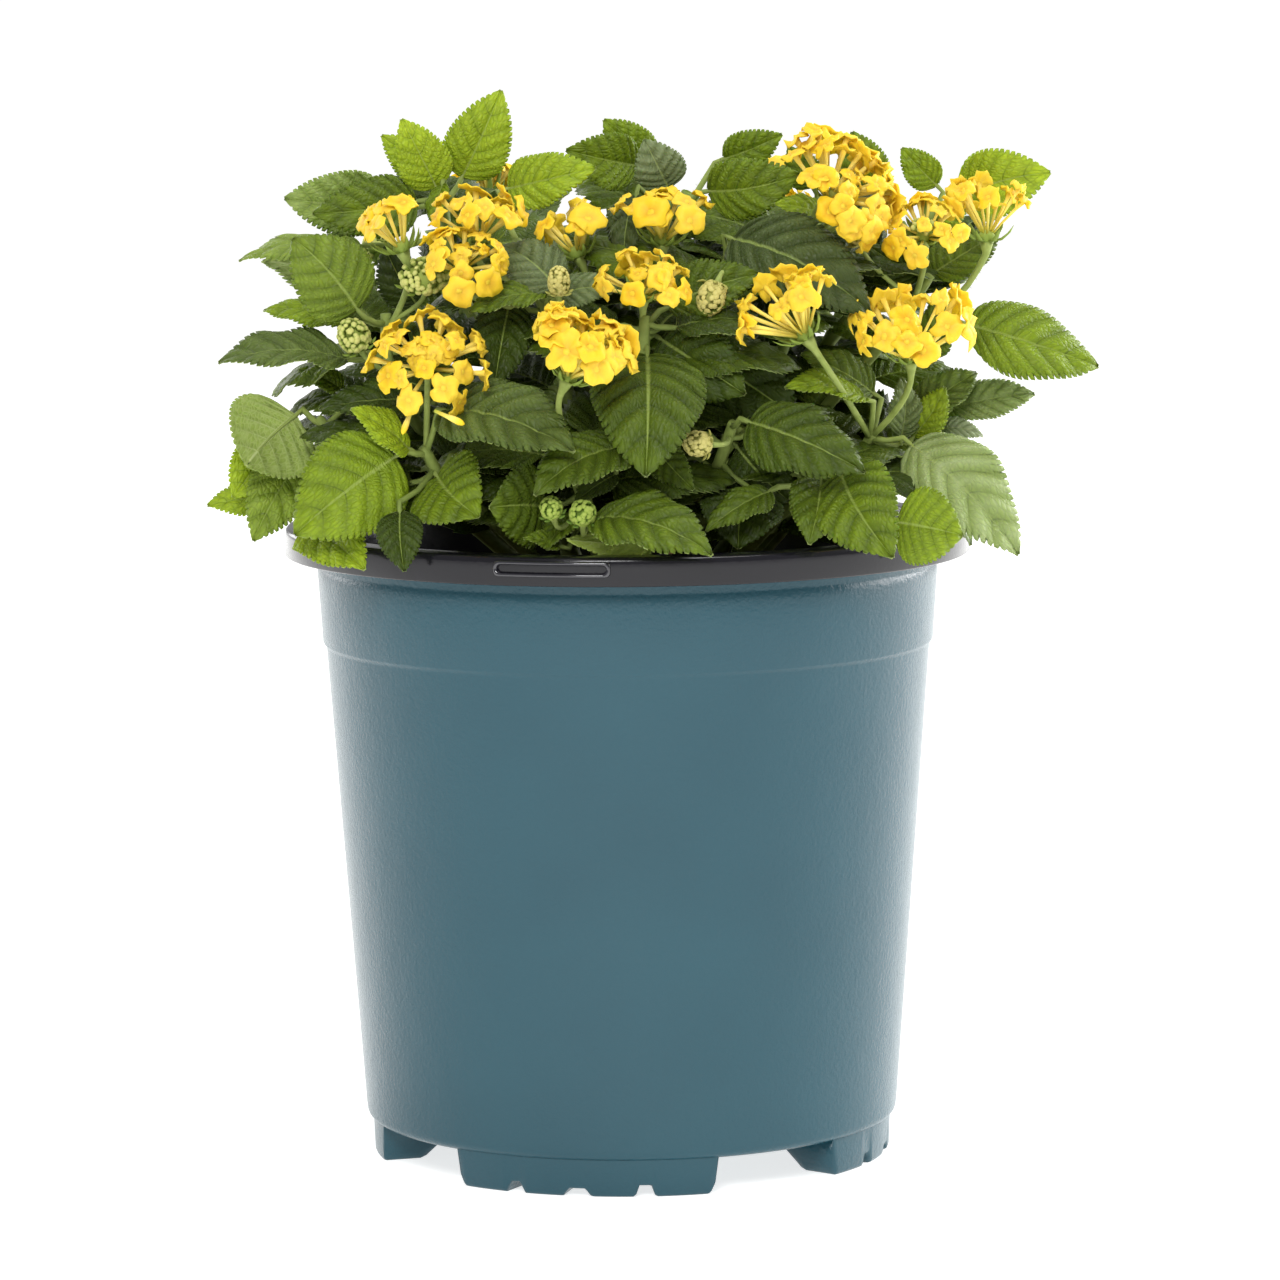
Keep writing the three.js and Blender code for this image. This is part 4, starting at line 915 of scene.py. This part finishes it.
def floretSource(index, kind):
    limb = floretForm["limb"] * kind["limb"]
    tube = floretForm["tube"]
    lobes = kind["lobes"]
    throat = 0.7
    tubeRings = [
        (0.4, 0, 0), (0.5, 0.35 * tube, 0.2), (0.66, 0.75 * tube, 0.36), (1.05, 0.98 * tube, 0.5),
        (0.8, tube, 0.55),
    ]
    limbRings = [
        (throat, tube - 0.25, 0.5), (0.65 * limb, tube + 0.05, 0.6), (limb, tube + 0.15, 0.68),
        (0.98 * limb, tube + 0.4, 0.76), (0.62 * limb, tube + 0.45, 0.86), (0.5, tube - 0.1, 1),
    ]

    def ruffled(radius, theta, part):
        reach = max(0.0, (radius - throat) / (limb - throat))
        lobe = abs(math.cos(lobes * theta / 2 + index)) ** 0.55
        uneven = 0.1 * math.cos(theta + 2 * index) + 0.06 * math.cos(3 * theta + index)
        widest = 1 + reach * (0.46 * (lobe - 1) + uneven + 0.1)
        wave = math.sin((2 * lobes - 1) * theta + 1.3 * index) + 0.8 * math.sin((lobes - 1) * theta + index)
        recurve = -0.9 * reach ** 2 * lobe + 0.5 * reach * (1 - lobe)
        leaning = kind["lean"] * radius * math.cos(theta) * reach
        return radius * widest, kind["ruffle"] * wave * reach ** 1.3 * 0.5 + recurve + leaning

    parts = newParts()
    addTurned(parts, tubeRings, 7, straight, kind["bend"], tube)
    addTurned(parts, limbRings, 5 * lobes, ruffled, kind["bend"], tube)
    return makeSource("floretSource" + str(index), parts, petalYellow)


# the rings of a bud, as shares of its radius and its length
budRings = ((0.45, 0), (0.6, 0.4), (0.95, 0.66), (1, 0.8), (0.75, 0.93), (0.2, 1))


def budSource(name, length, radius, material, shares):
    def squared(r, theta, part):
        return r * (1 + 0.12 * math.cos(4 * theta)), 0

    parts = newParts()
    addTurned(parts, [(r * radius, z * length, share) for (r, z), share in zip(budRings, shares)], 6, squared)
    return makeSource(name, parts, material)


def sourceCollection(name, objects):
    made = bpy.data.collections.new(name)
    for item in objects:
        made.objects.link(item)
    return made


closedFloret = budSource("closedFloretSource", 8.5, 1.2, petalYellow, (0, 0.2, 0.4, 0.5, 0.6, 0.7))
greenBud = budSource("greenBudSource", 2.6, 0.72, budGreen, (0, 0.2, 0.45, 0.7, 0.9, 1))
openFlorets = sourceCollection("openFlorets", [floretSource(i, kind) for i, kind in enumerate(floretKinds)])
closedFlorets = sourceCollection("closedFlorets", [closedFloret])
greenBuds = sourceCollection("greenBuds", [greenBud])


class Grower:
    # geometry nodes that set out a collection's objects, with inputs that are set for each piece
    def __init__(self, name, inputs):
        self.tree = bpy.data.node_groups.new(name, "GeometryNodeTree")
        self.add = partial(addNode, self.tree)
        inputs = inputs | {"Seed": "Int", "Kinds": "Int", "Sources": "Collection", "Material": "Material"}
        self.sockets = {}
        for label, kind in inputs.items():
            made = self.tree.interface.new_socket(label, in_out="INPUT", socket_type="NodeSocket" + kind)
            self.sockets[label] = made.identifier
        self.tree.interface.new_socket("Geometry", in_out="OUTPUT", socket_type="NodeSocketGeometry")
        self.given = self.add("NodeGroupInput")

    def chance(self, low, high, salt):
        seed = self.add("Math", self.given["Seed"], salt, operation="ADD")[0]
        return self.add("FunctionNodeRandomValue", {2: low, 3: high, 8: seed}, data_type="FLOAT")[1]

    def setOut(self, points, rotation, scale, salt, hasLots):
        # an object of the collection on each point, picked by chance, then made one plain mesh
        add, given = self.add, self.given
        source = add("GeometryNodeCollectionInfo", {
            "Collection": given["Sources"], "Separate Children": True, "Reset Children": True})[0]
        pick = add("Math", self.chance(0, 0.999, salt), given["Kinds"], operation="MULTIPLY")[0]
        made = add("GeometryNodeInstanceOnPoints", {
            "Points": points, "Instance": source, "Pick Instance": True, "Rotation": rotation, "Scale": scale,
            "Instance Index": add("Math", pick, operation="FLOOR")[0]})[0]
        if hasLots:
            lots = {"Geometry": made, "Name": "lot", "Value": self.chance(0, 1, salt + 1)}
            made = add("GeometryNodeStoreNamedAttribute", lots, data_type="FLOAT", domain="INSTANCE")[0]
        made = add("GeometryNodeRealizeInstances", {"Geometry": made})[0]
        made = add("GeometryNodeSetMaterial", {"Geometry": made, "Material": given["Material"]})[0]
        add("NodeGroupOutput", {"Geometry": made})

    def grow(self, name, values, mesh=None):
        # runs the nodes once, and keeps what they make as a plain mesh
        def setUp(modifier):
            modifier.node_group = self.tree
            values["Kinds"] = len(values["Sources"].objects)
            for label, value in values.items():
                modifier[self.sockets[label]] = value

        return applied(name, mesh or bpy.data.meshes.new(name), "NODES", setUp)


def umbelGrower():
    # sets its sources out over a dome in a golden-angle spiral, each along its own ray
    sizes = ("Inner Angle", "Outer Angle", "Half Width", "Height", "Size", "Length", "Crowding", "Inner Size")
    umbel = Grower("umbelOfFlorets", {"Florets": "Int"} | dict.fromkeys(sizes, "Float"))
    add, given, chance = umbel.add, umbel.given, umbel.chance
    goldenAngle = 2.39996
    index = add("GeometryNodeInputIndex")[0]
    order = add("Math", index, 0.5, operation="ADD")[0]
    rank = add("Math", order, given["Florets"], operation="DIVIDE")[0]
    ringShare = add("Math", rank, given["Crowding"], operation="POWER")[0]
    wideness = add("Math", given["Outer Angle"], given["Inner Angle"], operation="SUBTRACT")[0]
    lean = add("Math", ringShare, wideness, given["Inner Angle"], operation="MULTIPLY_ADD")[0]
    polar = add("Math", lean, chance(-0.1, 0.1, 1), operation="ADD")[0]
    spiral = add("Math", index, goldenAngle, operation="MULTIPLY")[0]
    turn = add("Math", spiral, chance(-0.3, 0.3, 2), operation="ADD")[0]
    flat, upward = [add("Math", polar, operation=wave)[0] for wave in ("SINE", "COSINE")]
    turns = [add("Math", turn, operation=wave)[0] for wave in ("COSINE", "SINE")]
    outward = [add("Math", flat, share, operation="MULTIPLY")[0] for share in turns]
    ray = add("CombineXYZ", *outward, upward)[0]
    dome = add("CombineXYZ", given["Half Width"], given["Half Width"], given["Height"])[0]
    place = add("VectorMath", ray, dome, operation="MULTIPLY")[0]
    points = add("GeometryNodePoints", {"Count": given["Florets"], "Position": place})[0]
    aim = add("FunctionNodeAlignRotationToVector", {"Vector": ray}, axis="Z")[0]
    roll = add("FunctionNodeAxisAngleToRotation", {"Axis": (0, 0, 1), "Angle": chance(0, 6.28, 3)})[0]
    turning = {"Rotation": aim, "Rotate By": roll}
    rotation = add("FunctionNodeRotateRotation", turning, rotation_space="LOCAL")[0]
    growth = add("MapRange", ringShare, 0.1, 0.75, given["Inner Size"], 1.0)[0]
    size = add("Math", given["Size"], growth, operation="MULTIPLY")[0]
    across = add("Math", size, chance(0.82, 1.15, 4), operation="MULTIPLY")[0]
    grown = add("Math", growth, 0.5, 0.5, operation="MULTIPLY_ADD")[0]
    reach = add("Math", given["Length"], grown, operation="MULTIPLY")[0]
    length = add("Math", reach, chance(0.85, 1.06, 5), operation="MULTIPLY")[0]
    umbel.setOut(points, rotation, add("CombineXYZ", across, across, length)[0], 6, True)
    return umbel


umbel = umbelGrower()


def standing(place, way):
    # stands what is made upright at the origin on a place, facing its way
    turn = Vector((0, 0, 1)).rotation_difference(way).to_matrix().to_4x4()
    return Matrix.Translation((place + potAxis) * mm) @ turn


bloomCushion = (2.1, 2.8, 9, 5.5)  # radius, height, bracts, their length


def receptacleMesh(radius, height, bracts, bractLength, rise=0.8, material=budGreen):
    # the green cushion under a head, with narrow bracts round its edge
    parts = newParts()
    rings = [
        (0.55 * radius, -0.4, 0), (radius, 0.12 * height, 0.2), (1.02 * radius, 0.35 * height, 0.3),
        (0.92 * radius, 0.6 * height, 0.4), (0.65 * radius, 0.85 * height, 0.6), (0.1 * radius, height, 0.7),
    ]
    addTurned(parts, rings, 12, tone=0.8)
    for k in range(bracts):
        angle = 2 * math.pi * (k + 0.3 * (k % 2)) / bracts
        out = Vector((math.cos(angle), math.sin(angle), 0))
        reach = bractLength * (0.8 + 0.4 * (k % 3) / 2)
        line = [out * (0.7 * radius) + Vector((0, 0, 0.2))]
        for outward, upward in ((0.35, 0.2), (0.7, 0.6), (0.9, 1)):
            line.append(out * (radius + outward * reach) + Vector((0, 0, upward * rise * reach)))
        radii, ages = (0.45, 0.85, 0.6, 0.08), (0.0, 0.15, 0.2, 0.3)
        addTube(parts, line, radii, 6, tone=0.8, part=ages, flat=0.3, way=(0, 0, 1))
    return makeMesh("receptacle", parts, [material], False)


def makeHead(name, row, meshes, materials, cadNode):
    mesh = joined(name, meshes, materials)
    mesh.transform(standing(*headPlace(*row[:3])))
    showPiece(name, mesh, cadNode)


def headMesh(name, count, inner, outer, seed, sources, material, changes):
    values = {
        "Florets": count, "Inner Angle": inner, "Outer Angle": outer, "Half Width": 1.2 * mm,
        "Height": 1.2 * mm, "Size": 1.0, "Length": 1.0, "Crowding": 0.55, "Inner Size": 0.7,
        "Seed": seed, "Sources": sources, "Material": material}
    return umbel.grow(name, values | changes)


def youngMiddle(name, number, count, length):
    # what still opens in the middle of a head: small florets, closed ones, or green buds
    if name == "bloom_11":
        sizes = {"Half Width": 1.9 * mm, "Height": 3.4 * mm}
        return headMesh(name, 16, 0.0, 0.8, 70, greenBuds, budGreen, sizes)
    sources = openFlorets if number % 2 else closedFlorets
    sizes = {"Length": 0.6 * length, "Size": 0.62, "Inner Size": 0.6}
    return headMesh(name, count, 0.0, 0.55, 50 + number, sources, petalYellow, sizes)


for number, (name, row) in enumerate(blooms.items()):
    halfAngle, length, count, size, young = row[3:8]
    reach = length / floretForm["tube"]
    sizes = {"Length": reach, "Size": size}
    inner, outer = 0.4 if young else 0.05, math.radians(halfAngle)
    meshes = [headMesh(name, count, inner, outer, 20 + number, openFlorets, petalYellow, sizes)]
    if young:
        meshes.append(youngMiddle(name, number, young, reach))
    meshes.append(receptacleMesh(*bloomCushion))
    makeHead("flowerHead_" + name[6:], row, meshes, [petalYellow, budGreen], name)

ripeness = dict.fromkeys(("buds_3", "buds_4", "buds_5", "buds_6"), budCream)
ripeness |= dict.fromkeys(("buds_7", "buds_8"), budYoung)
for number, (name, row) in enumerate(budHeads.items()):
    halfWidth, height, count, stand = row[3:7]
    ripe = ripeness.get(name, budGreen)
    outer = 2.6 - 0.7 * stand
    # buds are as wide as it takes to cover the dome, or less where they stand off from it
    area = 2 * math.pi * halfWidth * (halfWidth + height) / 2 * (1 - math.cos(outer))
    touching = math.sqrt((1.7 - 1.2 * stand) * area / count / math.pi) / 0.72
    sizes = {
        "Half Width": (halfWidth - 1.5 * stand - 0.9) * mm,
        "Height": max(0.8, 0.5 * height - 1.1 * stand) * mm,
        "Size": touching * (1 - 0.15 * stand), "Length": 0.45 + 0.5 * stand,
        "Crowding": 0.5, "Inner Size": 0.85}
    mesh = headMesh(name, count, 0.0, outer, 80 + number, greenBuds, ripe, sizes)
    mesh.transform(Matrix.Translation((0, 0, 0.48 * height * mm)))
    cushionWidth, cushionHeight = halfWidth - 0.45 - 1.2 * stand, (0.98 - 0.25 * stand) * height
    cushion = receptacleMesh(cushionWidth, cushionHeight, 6, 1.2 + 0.3 * halfWidth, 0.5, ripe)
    makeHead("budHead_" + name[5:], row, [mesh, cushion], list({ripe: 0, budGreen: 1}), name)

# Two closed florets hang from the low left head: where and which way
looseFlorets = [((-53, 189.5, -72), (-0.4, -0.2, -1)), ((-48, 187.5, -78), (0.92, -0.25, -0.4))]
looseSize = (0.7125, 0.7125, 0.95, 1)


def makeLoose():
    meshes = []
    for place, way in looseFlorets:
        mesh = closedFloret.data.copy()
        mesh.transform(standing(onView(*place), Vector(way).normalized()) @ Matrix.Diagonal(looseSize))
        meshes.append(mesh)
    showPiece("looseFlorets", joined("looseFlorets", meshes, [petalYellow]))


makeLoose()
print("heads ready")


# Pot: one moulding, teal outside up to the rim, black in the rim and inside

potForm = {
    "rimRadius": 86, "skirtBottom": 152, "height": 159, "mouthRadius": 77.6, "skirtWall": 1.5,
    "underRimRadius": 78.2, "bandTopRadius": 77.9, "bandTop": 148, "bandFootRadius": 76.8, "bandFoot": 129.9,
    "bandStep": 0.9, "baseRadius": 67.2, "baseRounding": 2.5, "wall": 1.5, "sides": 192,
    "plateBottom": 9, "plateThickness": 1.6,
}
footForm = {
    "count": 4, "first": -11, "arc": 62, "outerRadius": 65.7, "innerRadius": 44, "top": 9.8, "draft": 1.6,
    "corner": 2.2, "ends": 1.2, "samples": 90,
    "notches": ((-17.2, 4.2, 3.4, 2.6), (-1.1, 7, 3.9, 1.9), (16, 4.8, 3, 2.8)),  # place, two widths, height
}
footHalf = footForm["outerRadius"] * math.radians(footForm["arc"] / 2) - footForm["ends"]
drainForm = {"radius": 4, "at": 58, "sides": 24, "cut": (5, 14)}


def arcPoints(centre, radius, start, end, count):
    steps = [math.radians(start + (end - start) * i / count) for i in range(count + 1)]
    return [(centre[0] + radius * math.cos(a), centre[1] + radius * math.sin(a)) for a in steps]


def potProfile():
    # (radius, height) from the base's middle out, up, over the rim and down the inside, in two colours
    p = potForm
    top, low, r, skirtLow = p["height"], p["plateBottom"], p["baseRounding"], p["skirtBottom"]
    rim, mouth, under, base = p["rimRadius"], p["mouthRadius"], p["underRimRadius"], p["baseRadius"]
    band, bandTop, foot, bandFoot = p["bandTopRadius"], p["bandTop"], p["bandFootRadius"], p["bandFoot"]
    skirt, underTop = rim - p["skirtWall"], top - p["skirtWall"]
    inside, plateTop = base - p["wall"], low + p["plateThickness"]
    teal = [
        (0.01, low), (30, low), (base - r - 2, low), *arcPoints((base - r, low + r), r, -90, 0, 6),
        (base + 0.1, low + r + 1), (foot - p["bandStep"], bandFoot - 1.3), (foot - 0.75, bandFoot - 0.7),
        (foot - 0.25, bandFoot - 0.3), (foot, bandFoot + 0.2), (band, bandTop - 1.2),
        (band - 0.05, bandTop + 0.5), (band - 0.2, bandTop + 0.95), (band - 0.24, bandTop + 1.5),
        (under, skirtLow + 0.5), (under + 0.2, underTop - 0.6),
    ]
    black = [
        (under + 0.6, underTop), (skirt - 0.4, underTop), (skirt, underTop - 0.4), (skirt, skirtLow + 0.3),
        (skirt + 0.3, skirtLow), (rim - 0.3, skirtLow), (rim, skirtLow + 0.3), (rim - 0.15, top - 1.6),
        *arcPoints((rim - 1.3, top - 1.2), 1.2, 20, 90, 5), (mouth + 3.2, top),
        *arcPoints((mouth + 1, top - 1), 1, 90, 180, 4), (foot - p["wall"], bandFoot), (inside, plateTop + r),
        *arcPoints((inside - r, plateTop + r), r, -10, -90, 4), (0.01, plateTop),
    ]
    return teal, black


def ringPoints(profile, sides, rough=None):
    points = []
    for ring, (radius, height) in enumerate(profile):
        for k in range(sides):
            angle = 2 * math.pi * k / sides
            lift = rough(ring) if rough else 0
            points.append((radius * math.cos(angle), radius * math.sin(angle), height + lift))
    return points


def footLower(s):
    # height of a foot's lower edge at a distance s round from its middle
    corner = footForm["corner"]
    low = 0.0
    inward = footHalf - abs(s)
    if inward < corner:
        low = corner - math.sqrt(max(0.0, corner ** 2 - (corner - inward) ** 2))
    for at, below, above, height in footForm["notches"]:
        within = (below / 2 - abs(s - at)) / max((below - above) / 2, 0.01)
        low = max(low, height * min(1, max(0, within)) ** 0.8)
    return low


def addFoot(parts, turn):
    outer, top, samples = footForm["outerRadius"], footForm["top"], footForm["samples"]
    points = []
    for i in range(samples + 1):
        s = -footHalf + 2 * footHalf * i / samples
        low = footLower(s)
        lean = footForm["draft"] * (1 - low / top) * max(0, (abs(s) - footHalf + 3) / 3)
        section = [
            (outer, top), (outer - 0.02, top - 0.4), (outer - 0.35, low + 0.9), (outer - 0.65, low + 0.25),
            (outer - 1.3, low), (outer - 10, low), (outer - 11.5, low + 0.6), (footForm["innerRadius"], top),
        ]
        for radius, height in section:
            at = s - math.copysign(lean * max(0, 1 - height / top), s)
            angle = turn + at / outer
            points.append((radius * math.sin(angle), -radius * math.cos(angle), height))
    addPart(parts, points, ringFaces(samples + 1, len(section)))


def turnOfFoot(number):
    return math.radians(footForm["first"] + 360 / footForm["count"] * number)


def makePot():
    # the feet stand under the base, and the drain holes lie between them
    looks = [potTeal, potBlack]
    wall, cutters, feet = newParts(), newParts(), newParts()
    teal, black = potProfile()
    sides = potForm["sides"]
    materials = [0] * (sides * (len(teal) - 1)) + [1] * (sides * len(black)) + [0, 1]
    addPart(wall, ringPoints(teal + black, sides), ringFaces(len(teal + black), sides), materials)
    for i in range(footForm["count"]):
        addFoot(feet, turnOfFoot(i))
        angle = turnOfFoot(i + 0.5)
        centre = Vector((drainForm["at"] * math.sin(angle), -drainForm["at"] * math.cos(angle), 0))
        line = [centre + Vector((0, 0, height)) for height in drainForm["cut"]]
        addTube(cutters, line, [drainForm["radius"]] * 2, drainForm["sides"], material=1)
    tool = addObject("drainTool", turnOutwards(makeMesh("drainTool", cutters, looks)))

    def cutDrains(modifier):
        modifier.object = tool
        modifier.operation = "DIFFERENCE"

    drained = applied("potWall", turnOutwards(makeMesh("potWall", wall, looks)), "BOOLEAN", cutDrains)
    bpy.data.objects.remove(tool)
    return joined("nurseryPot", [drained, turnOutwards(makeMesh("potFeet", feet, looks))], looks)


showPiece("nurseryPot", makePot(), "pot")


# A small moulded frame on the front of the rim's skirt
tagFrame = {
    "left": -32.6, "right": -3.8, "top": 158.2, "bottom": 154.2, "bar": 2.2, "proud": 1.1, "corner": 1.2,
    "endsFrom": 12.9, "spacing": 1.5, "sunk": -0.4,
    "section": ((0, None), (0.12, 0.6), (0.5, 1), (0.88, 0.6), (1, None)),  # place across it, how proud
}


def makeTagFrame():
    t = tagFrame
    parts = newParts()
    left, right, top, bottom = t["left"], t["right"], t["top"], t["bottom"]
    corners = [(left, bottom), (right, bottom), (right, top), (left, top)]
    loop = []
    for (x, z), start in zip(corners, (180, 270, 0, 90)):
        inX = x + t["corner"] * (1 if x == left else -1)
        inZ = z + t["corner"] * (1 if z == bottom else -1)
        loop += arcPoints((inX, inZ), t["corner"], start, start + 90, 4)
    dense = []
    for (x, z), (nextX, nextZ) in zip(loop, loop[1:] + loop[:1]):
        pieces = max(1, int(math.hypot(nextX - x, nextZ - z) / t["spacing"]))
        dense += [(x + (nextX - x) * k / pieces, z + (nextZ - z) * k / pieces) for k in range(pieces)]
    middleX, middleZ = (left + right) / 2, (top + bottom) / 2
    points = []
    for x, z in dense:
        isEnd = abs(x - middleX) > t["endsFrom"]
        for step, share in t["section"]:
            inward = step * t["bar"] / 2
            turn = (x + math.copysign(inward, middleX - x) * isEnd) / potForm["rimRadius"]
            radius = potForm["rimRadius"] + (t["sunk"] if share is None else t["proud"] * share)
            height = z + math.copysign(inward, middleZ - z)
            points.append((radius * math.sin(turn), -radius * math.cos(turn), height))
    addPart(parts, points, ringFaces(len(dense), len(t["section"]), True))
    return turnOutwards(makeMesh("rimTagFrame", parts, [potPolished]))


showPiece("rimTagFrame", makeTagFrame())
print("pot ready")


# Potting mix: a crumbled plug with bark chips scattered over it

mixForm = {
    "radius": 75.2, "lowRadius": 64.6, "low": 11.2, "rings": 34, "sides": 90, "crown": 1.6, "rough": 0.9,
    "chipsWithin": 69,  # how far from the axis the chips lie
}


def makeMix():
    parts = newParts()
    noise = random.Random("mix")
    radius = mixForm["radius"]
    side = [(mixForm["lowRadius"], mixForm["low"]), (radius - 0.4, 129), (radius, mixTop - 2)]
    top = []
    for i in range(mixForm["rings"]):
        share = 1 - (i + 1) / (mixForm["rings"] + 0.3)
        top.append((radius * share, mixTop + mixForm["crown"] * (1 - share ** 2)))

    def rough(ring):
        return noise.uniform(-mixForm["rough"], mixForm["rough"]) if ring >= len(side) else 0

    points = ringPoints(side + top, mixForm["sides"], rough)
    addPart(parts, points, ringFaces(len(side + top), mixForm["sides"]))
    return turnOutwards(makeMesh("pottingMix", parts, [mixBrown]))


def chipSource(index):
    rng = random.Random("chip" + str(index))
    parts = newParts()
    length, width, height = rng.uniform(2.2, 5.5), rng.uniform(1, 2.2), rng.uniform(0.5, 1.2)
    sides = 6
    rings = ((-1, 0.35), (-0.7, 0.8), (0, 1), (0.6, 0.85), (1, 0.3))
    points = []
    for share, radius in rings:
        uneven = radius * rng.uniform(0.8, 1.15)
        for k in range(sides):
            angle = 2 * math.pi * k / sides
            across, over = uneven * width * math.cos(angle), uneven * height * math.sin(angle)
            points.append((share * length, across, over))
    addPart(parts, points, ringFaces(len(rings), sides))
    return makeSource("chipSource" + str(index), parts, barkBrown)


def scatterGrower():
    # scatters its sources over the faces that it is given, each turned and sized by chance
    sizes = ("Density", "Low Size", "High Size", "Lean")
    scatter = Grower("scatterOverSurface", {"Surface": "Geometry"} | dict.fromkeys(sizes, "Float"))
    add, given, chance = scatter.add, scatter.given, scatter.chance
    scattered = add("GeometryNodeDistributePointsOnFaces", {
        "Mesh": given["Surface"], "Density": given["Density"], "Seed": given["Seed"]})
    lean = given["Lean"]
    back = add("Math", lean, -1, operation="MULTIPLY")[0]
    angles = add("CombineXYZ", chance(back, lean, 1), chance(back, lean, 2), chance(0, 6.28, 3))[0]
    tilt = add("FunctionNodeEulerToRotation", angles)[0]
    turning = {"Rotation": scattered["Rotation"], "Rotate By": tilt}
    rotation = add("FunctionNodeRotateRotation", turning, rotation_space="LOCAL")[0]
    size = chance(given["Low Size"], given["High Size"], 5)
    scatter.setOut(scattered["Points"], rotation, size, 4, False)
    return scatter


scatter = scatterGrower()


def isForChips(face):
    place = face.calc_center_median()
    fromAxis = (place.xy - potAxis.xy * mm).length
    return face.normal.z > 0.3 and place.z > (mixTop - 3) * mm and fromAxis < mixForm["chipsWithin"] * mm


mixMesh = makeMix()
showPiece("pottingMix", mixMesh, "potting_mix")
chips = sourceCollection("barkChipKinds", [chipSource(i) for i in range(5)])
chipValues = {
    "Density": 50000.0, "Low Size": 0.35, "High Size": 1.05, "Lean": 0.5, "Seed": 3,
    "Sources": chips, "Material": barkBrown}
showPiece("barkChips", scatter.grow("barkChips", chipValues, facesOf(mixMesh, isForChips)))
print("potting mix ready")


# Short stiff hairs on the stems and stalks
hairForm = {
    "density": 130000.0,
    "line": ((0, 0, -0.05), (0.04, 0, 0.45), (0.16, 0, 0.9)),
    "radii": (0.06, 0.042, 0.012),
}


def makeHairs():
    parts = newParts()
    addTube(parts, hairForm["line"], hairForm["radii"], 3)
    hairs = sourceCollection("stemHairs", [makeSource("hairSource", parts, stemGreen)])
    stems = [facesOf(piece.data, lambda face: face.material_index == 0) for piece in shootPieces]
    values = {
        "Density": hairForm["density"], "Low Size": 0.6, "High Size": 1.2, "Lean": 0.5, "Seed": 11,
        "Sources": hairs, "Material": stemGreen}
    return scatter.grow("hairsOnStems", values, joined("stems", stems, [stemGreen, leafUpper, leafUnder]))


showPiece("hairsOnStems", makeHairs())
print("hairs ready")


# Studio: a wide pale floor, soft light all round, and large soft lights in front, above and at both sides

studio = {"floor": 60, "floorColour": "#dcdcda", "floorGlow": 0.74, "surround": 0.42}
lights = {  # place, what it points at, size, power
    "keyLight": ((-0.2, -1.38, 0.98), (0, 0, 0.18), (0.5, 0.5), 14.5),
    "topLight": ((0.15, -0.1, 1.5), (0, 0, 0.2), (0.7, 0.7), 9),
    "leftSidePanel": ((-1.3, 1.38, 0.76), (0, 0, 0.12), (1.5, 1.3), 21),
    "rightSidePanel": ((1.62, 0.88, 0.76), (0, 0, 0.12), (1.9, 1.3), 56),
}


def makeStudio():
    mesh = bpy.data.meshes.new("floor")
    half = studio["floor"] / 2
    corners = [(-half, -half, 0), (half, -half, 0), (half, half, 0), (-half, half, 0)]
    mesh.from_pydata(corners, [], [(0, 1, 2, 3)])
    mesh.materials.append(newMaterial("paleLitSweep", {
        "Roughness": 0.9, "Specular IOR Level": 0.1, "Base Color": colour(studio["floorColour"]),
        "Emission Color": (1, 1, 1, 1), "Emission Strength": studio["floorGlow"]})[0])
    addObject("floor", mesh)

    world = bpy.data.worlds.new("softSurround")
    world.use_nodes = True
    background = world.node_tree.nodes["Background"].inputs
    background["Color"].default_value = (1, 1, 1, 1)
    background["Strength"].default_value = studio["surround"]
    scene.world = world
    scene.view_settings.view_transform = "Standard"


def addSoftLight(name, place, target, size, power):
    data = bpy.data.lights.new(name, "AREA")
    data.shape = "RECTANGLE"
    data.size, data.size_y = size
    data.energy = power
    lamp = addObject(name, data)
    lamp.location = place
    lamp.visible_camera = False
    lamp.rotation_euler = (Vector(target) - Vector(place)).to_track_quat("-Z", "Y").to_euler()


def addCamera():
    data = bpy.data.cameras.new("camera")
    data.sensor_width = 36
    data.lens = eye["lens"]
    data.clip_end = 100
    camera = addObject("camera", data)
    camera.location = (Vector((eye["aside"], -eye["distance"], eye["height"])) + potAxis) * mm
    tilt = Matrix.Rotation(math.radians(90 - eye["pitch"]), 3, "X")
    camera.rotation_euler = (tilt @ Matrix.Rotation(-math.radians(eye["roll"]), 3, "Z")).to_euler()
    scene.camera = camera


makeStudio()
for name, row in lights.items():
    addSoftLight(name, *row)
addCamera()
print("studio ready")
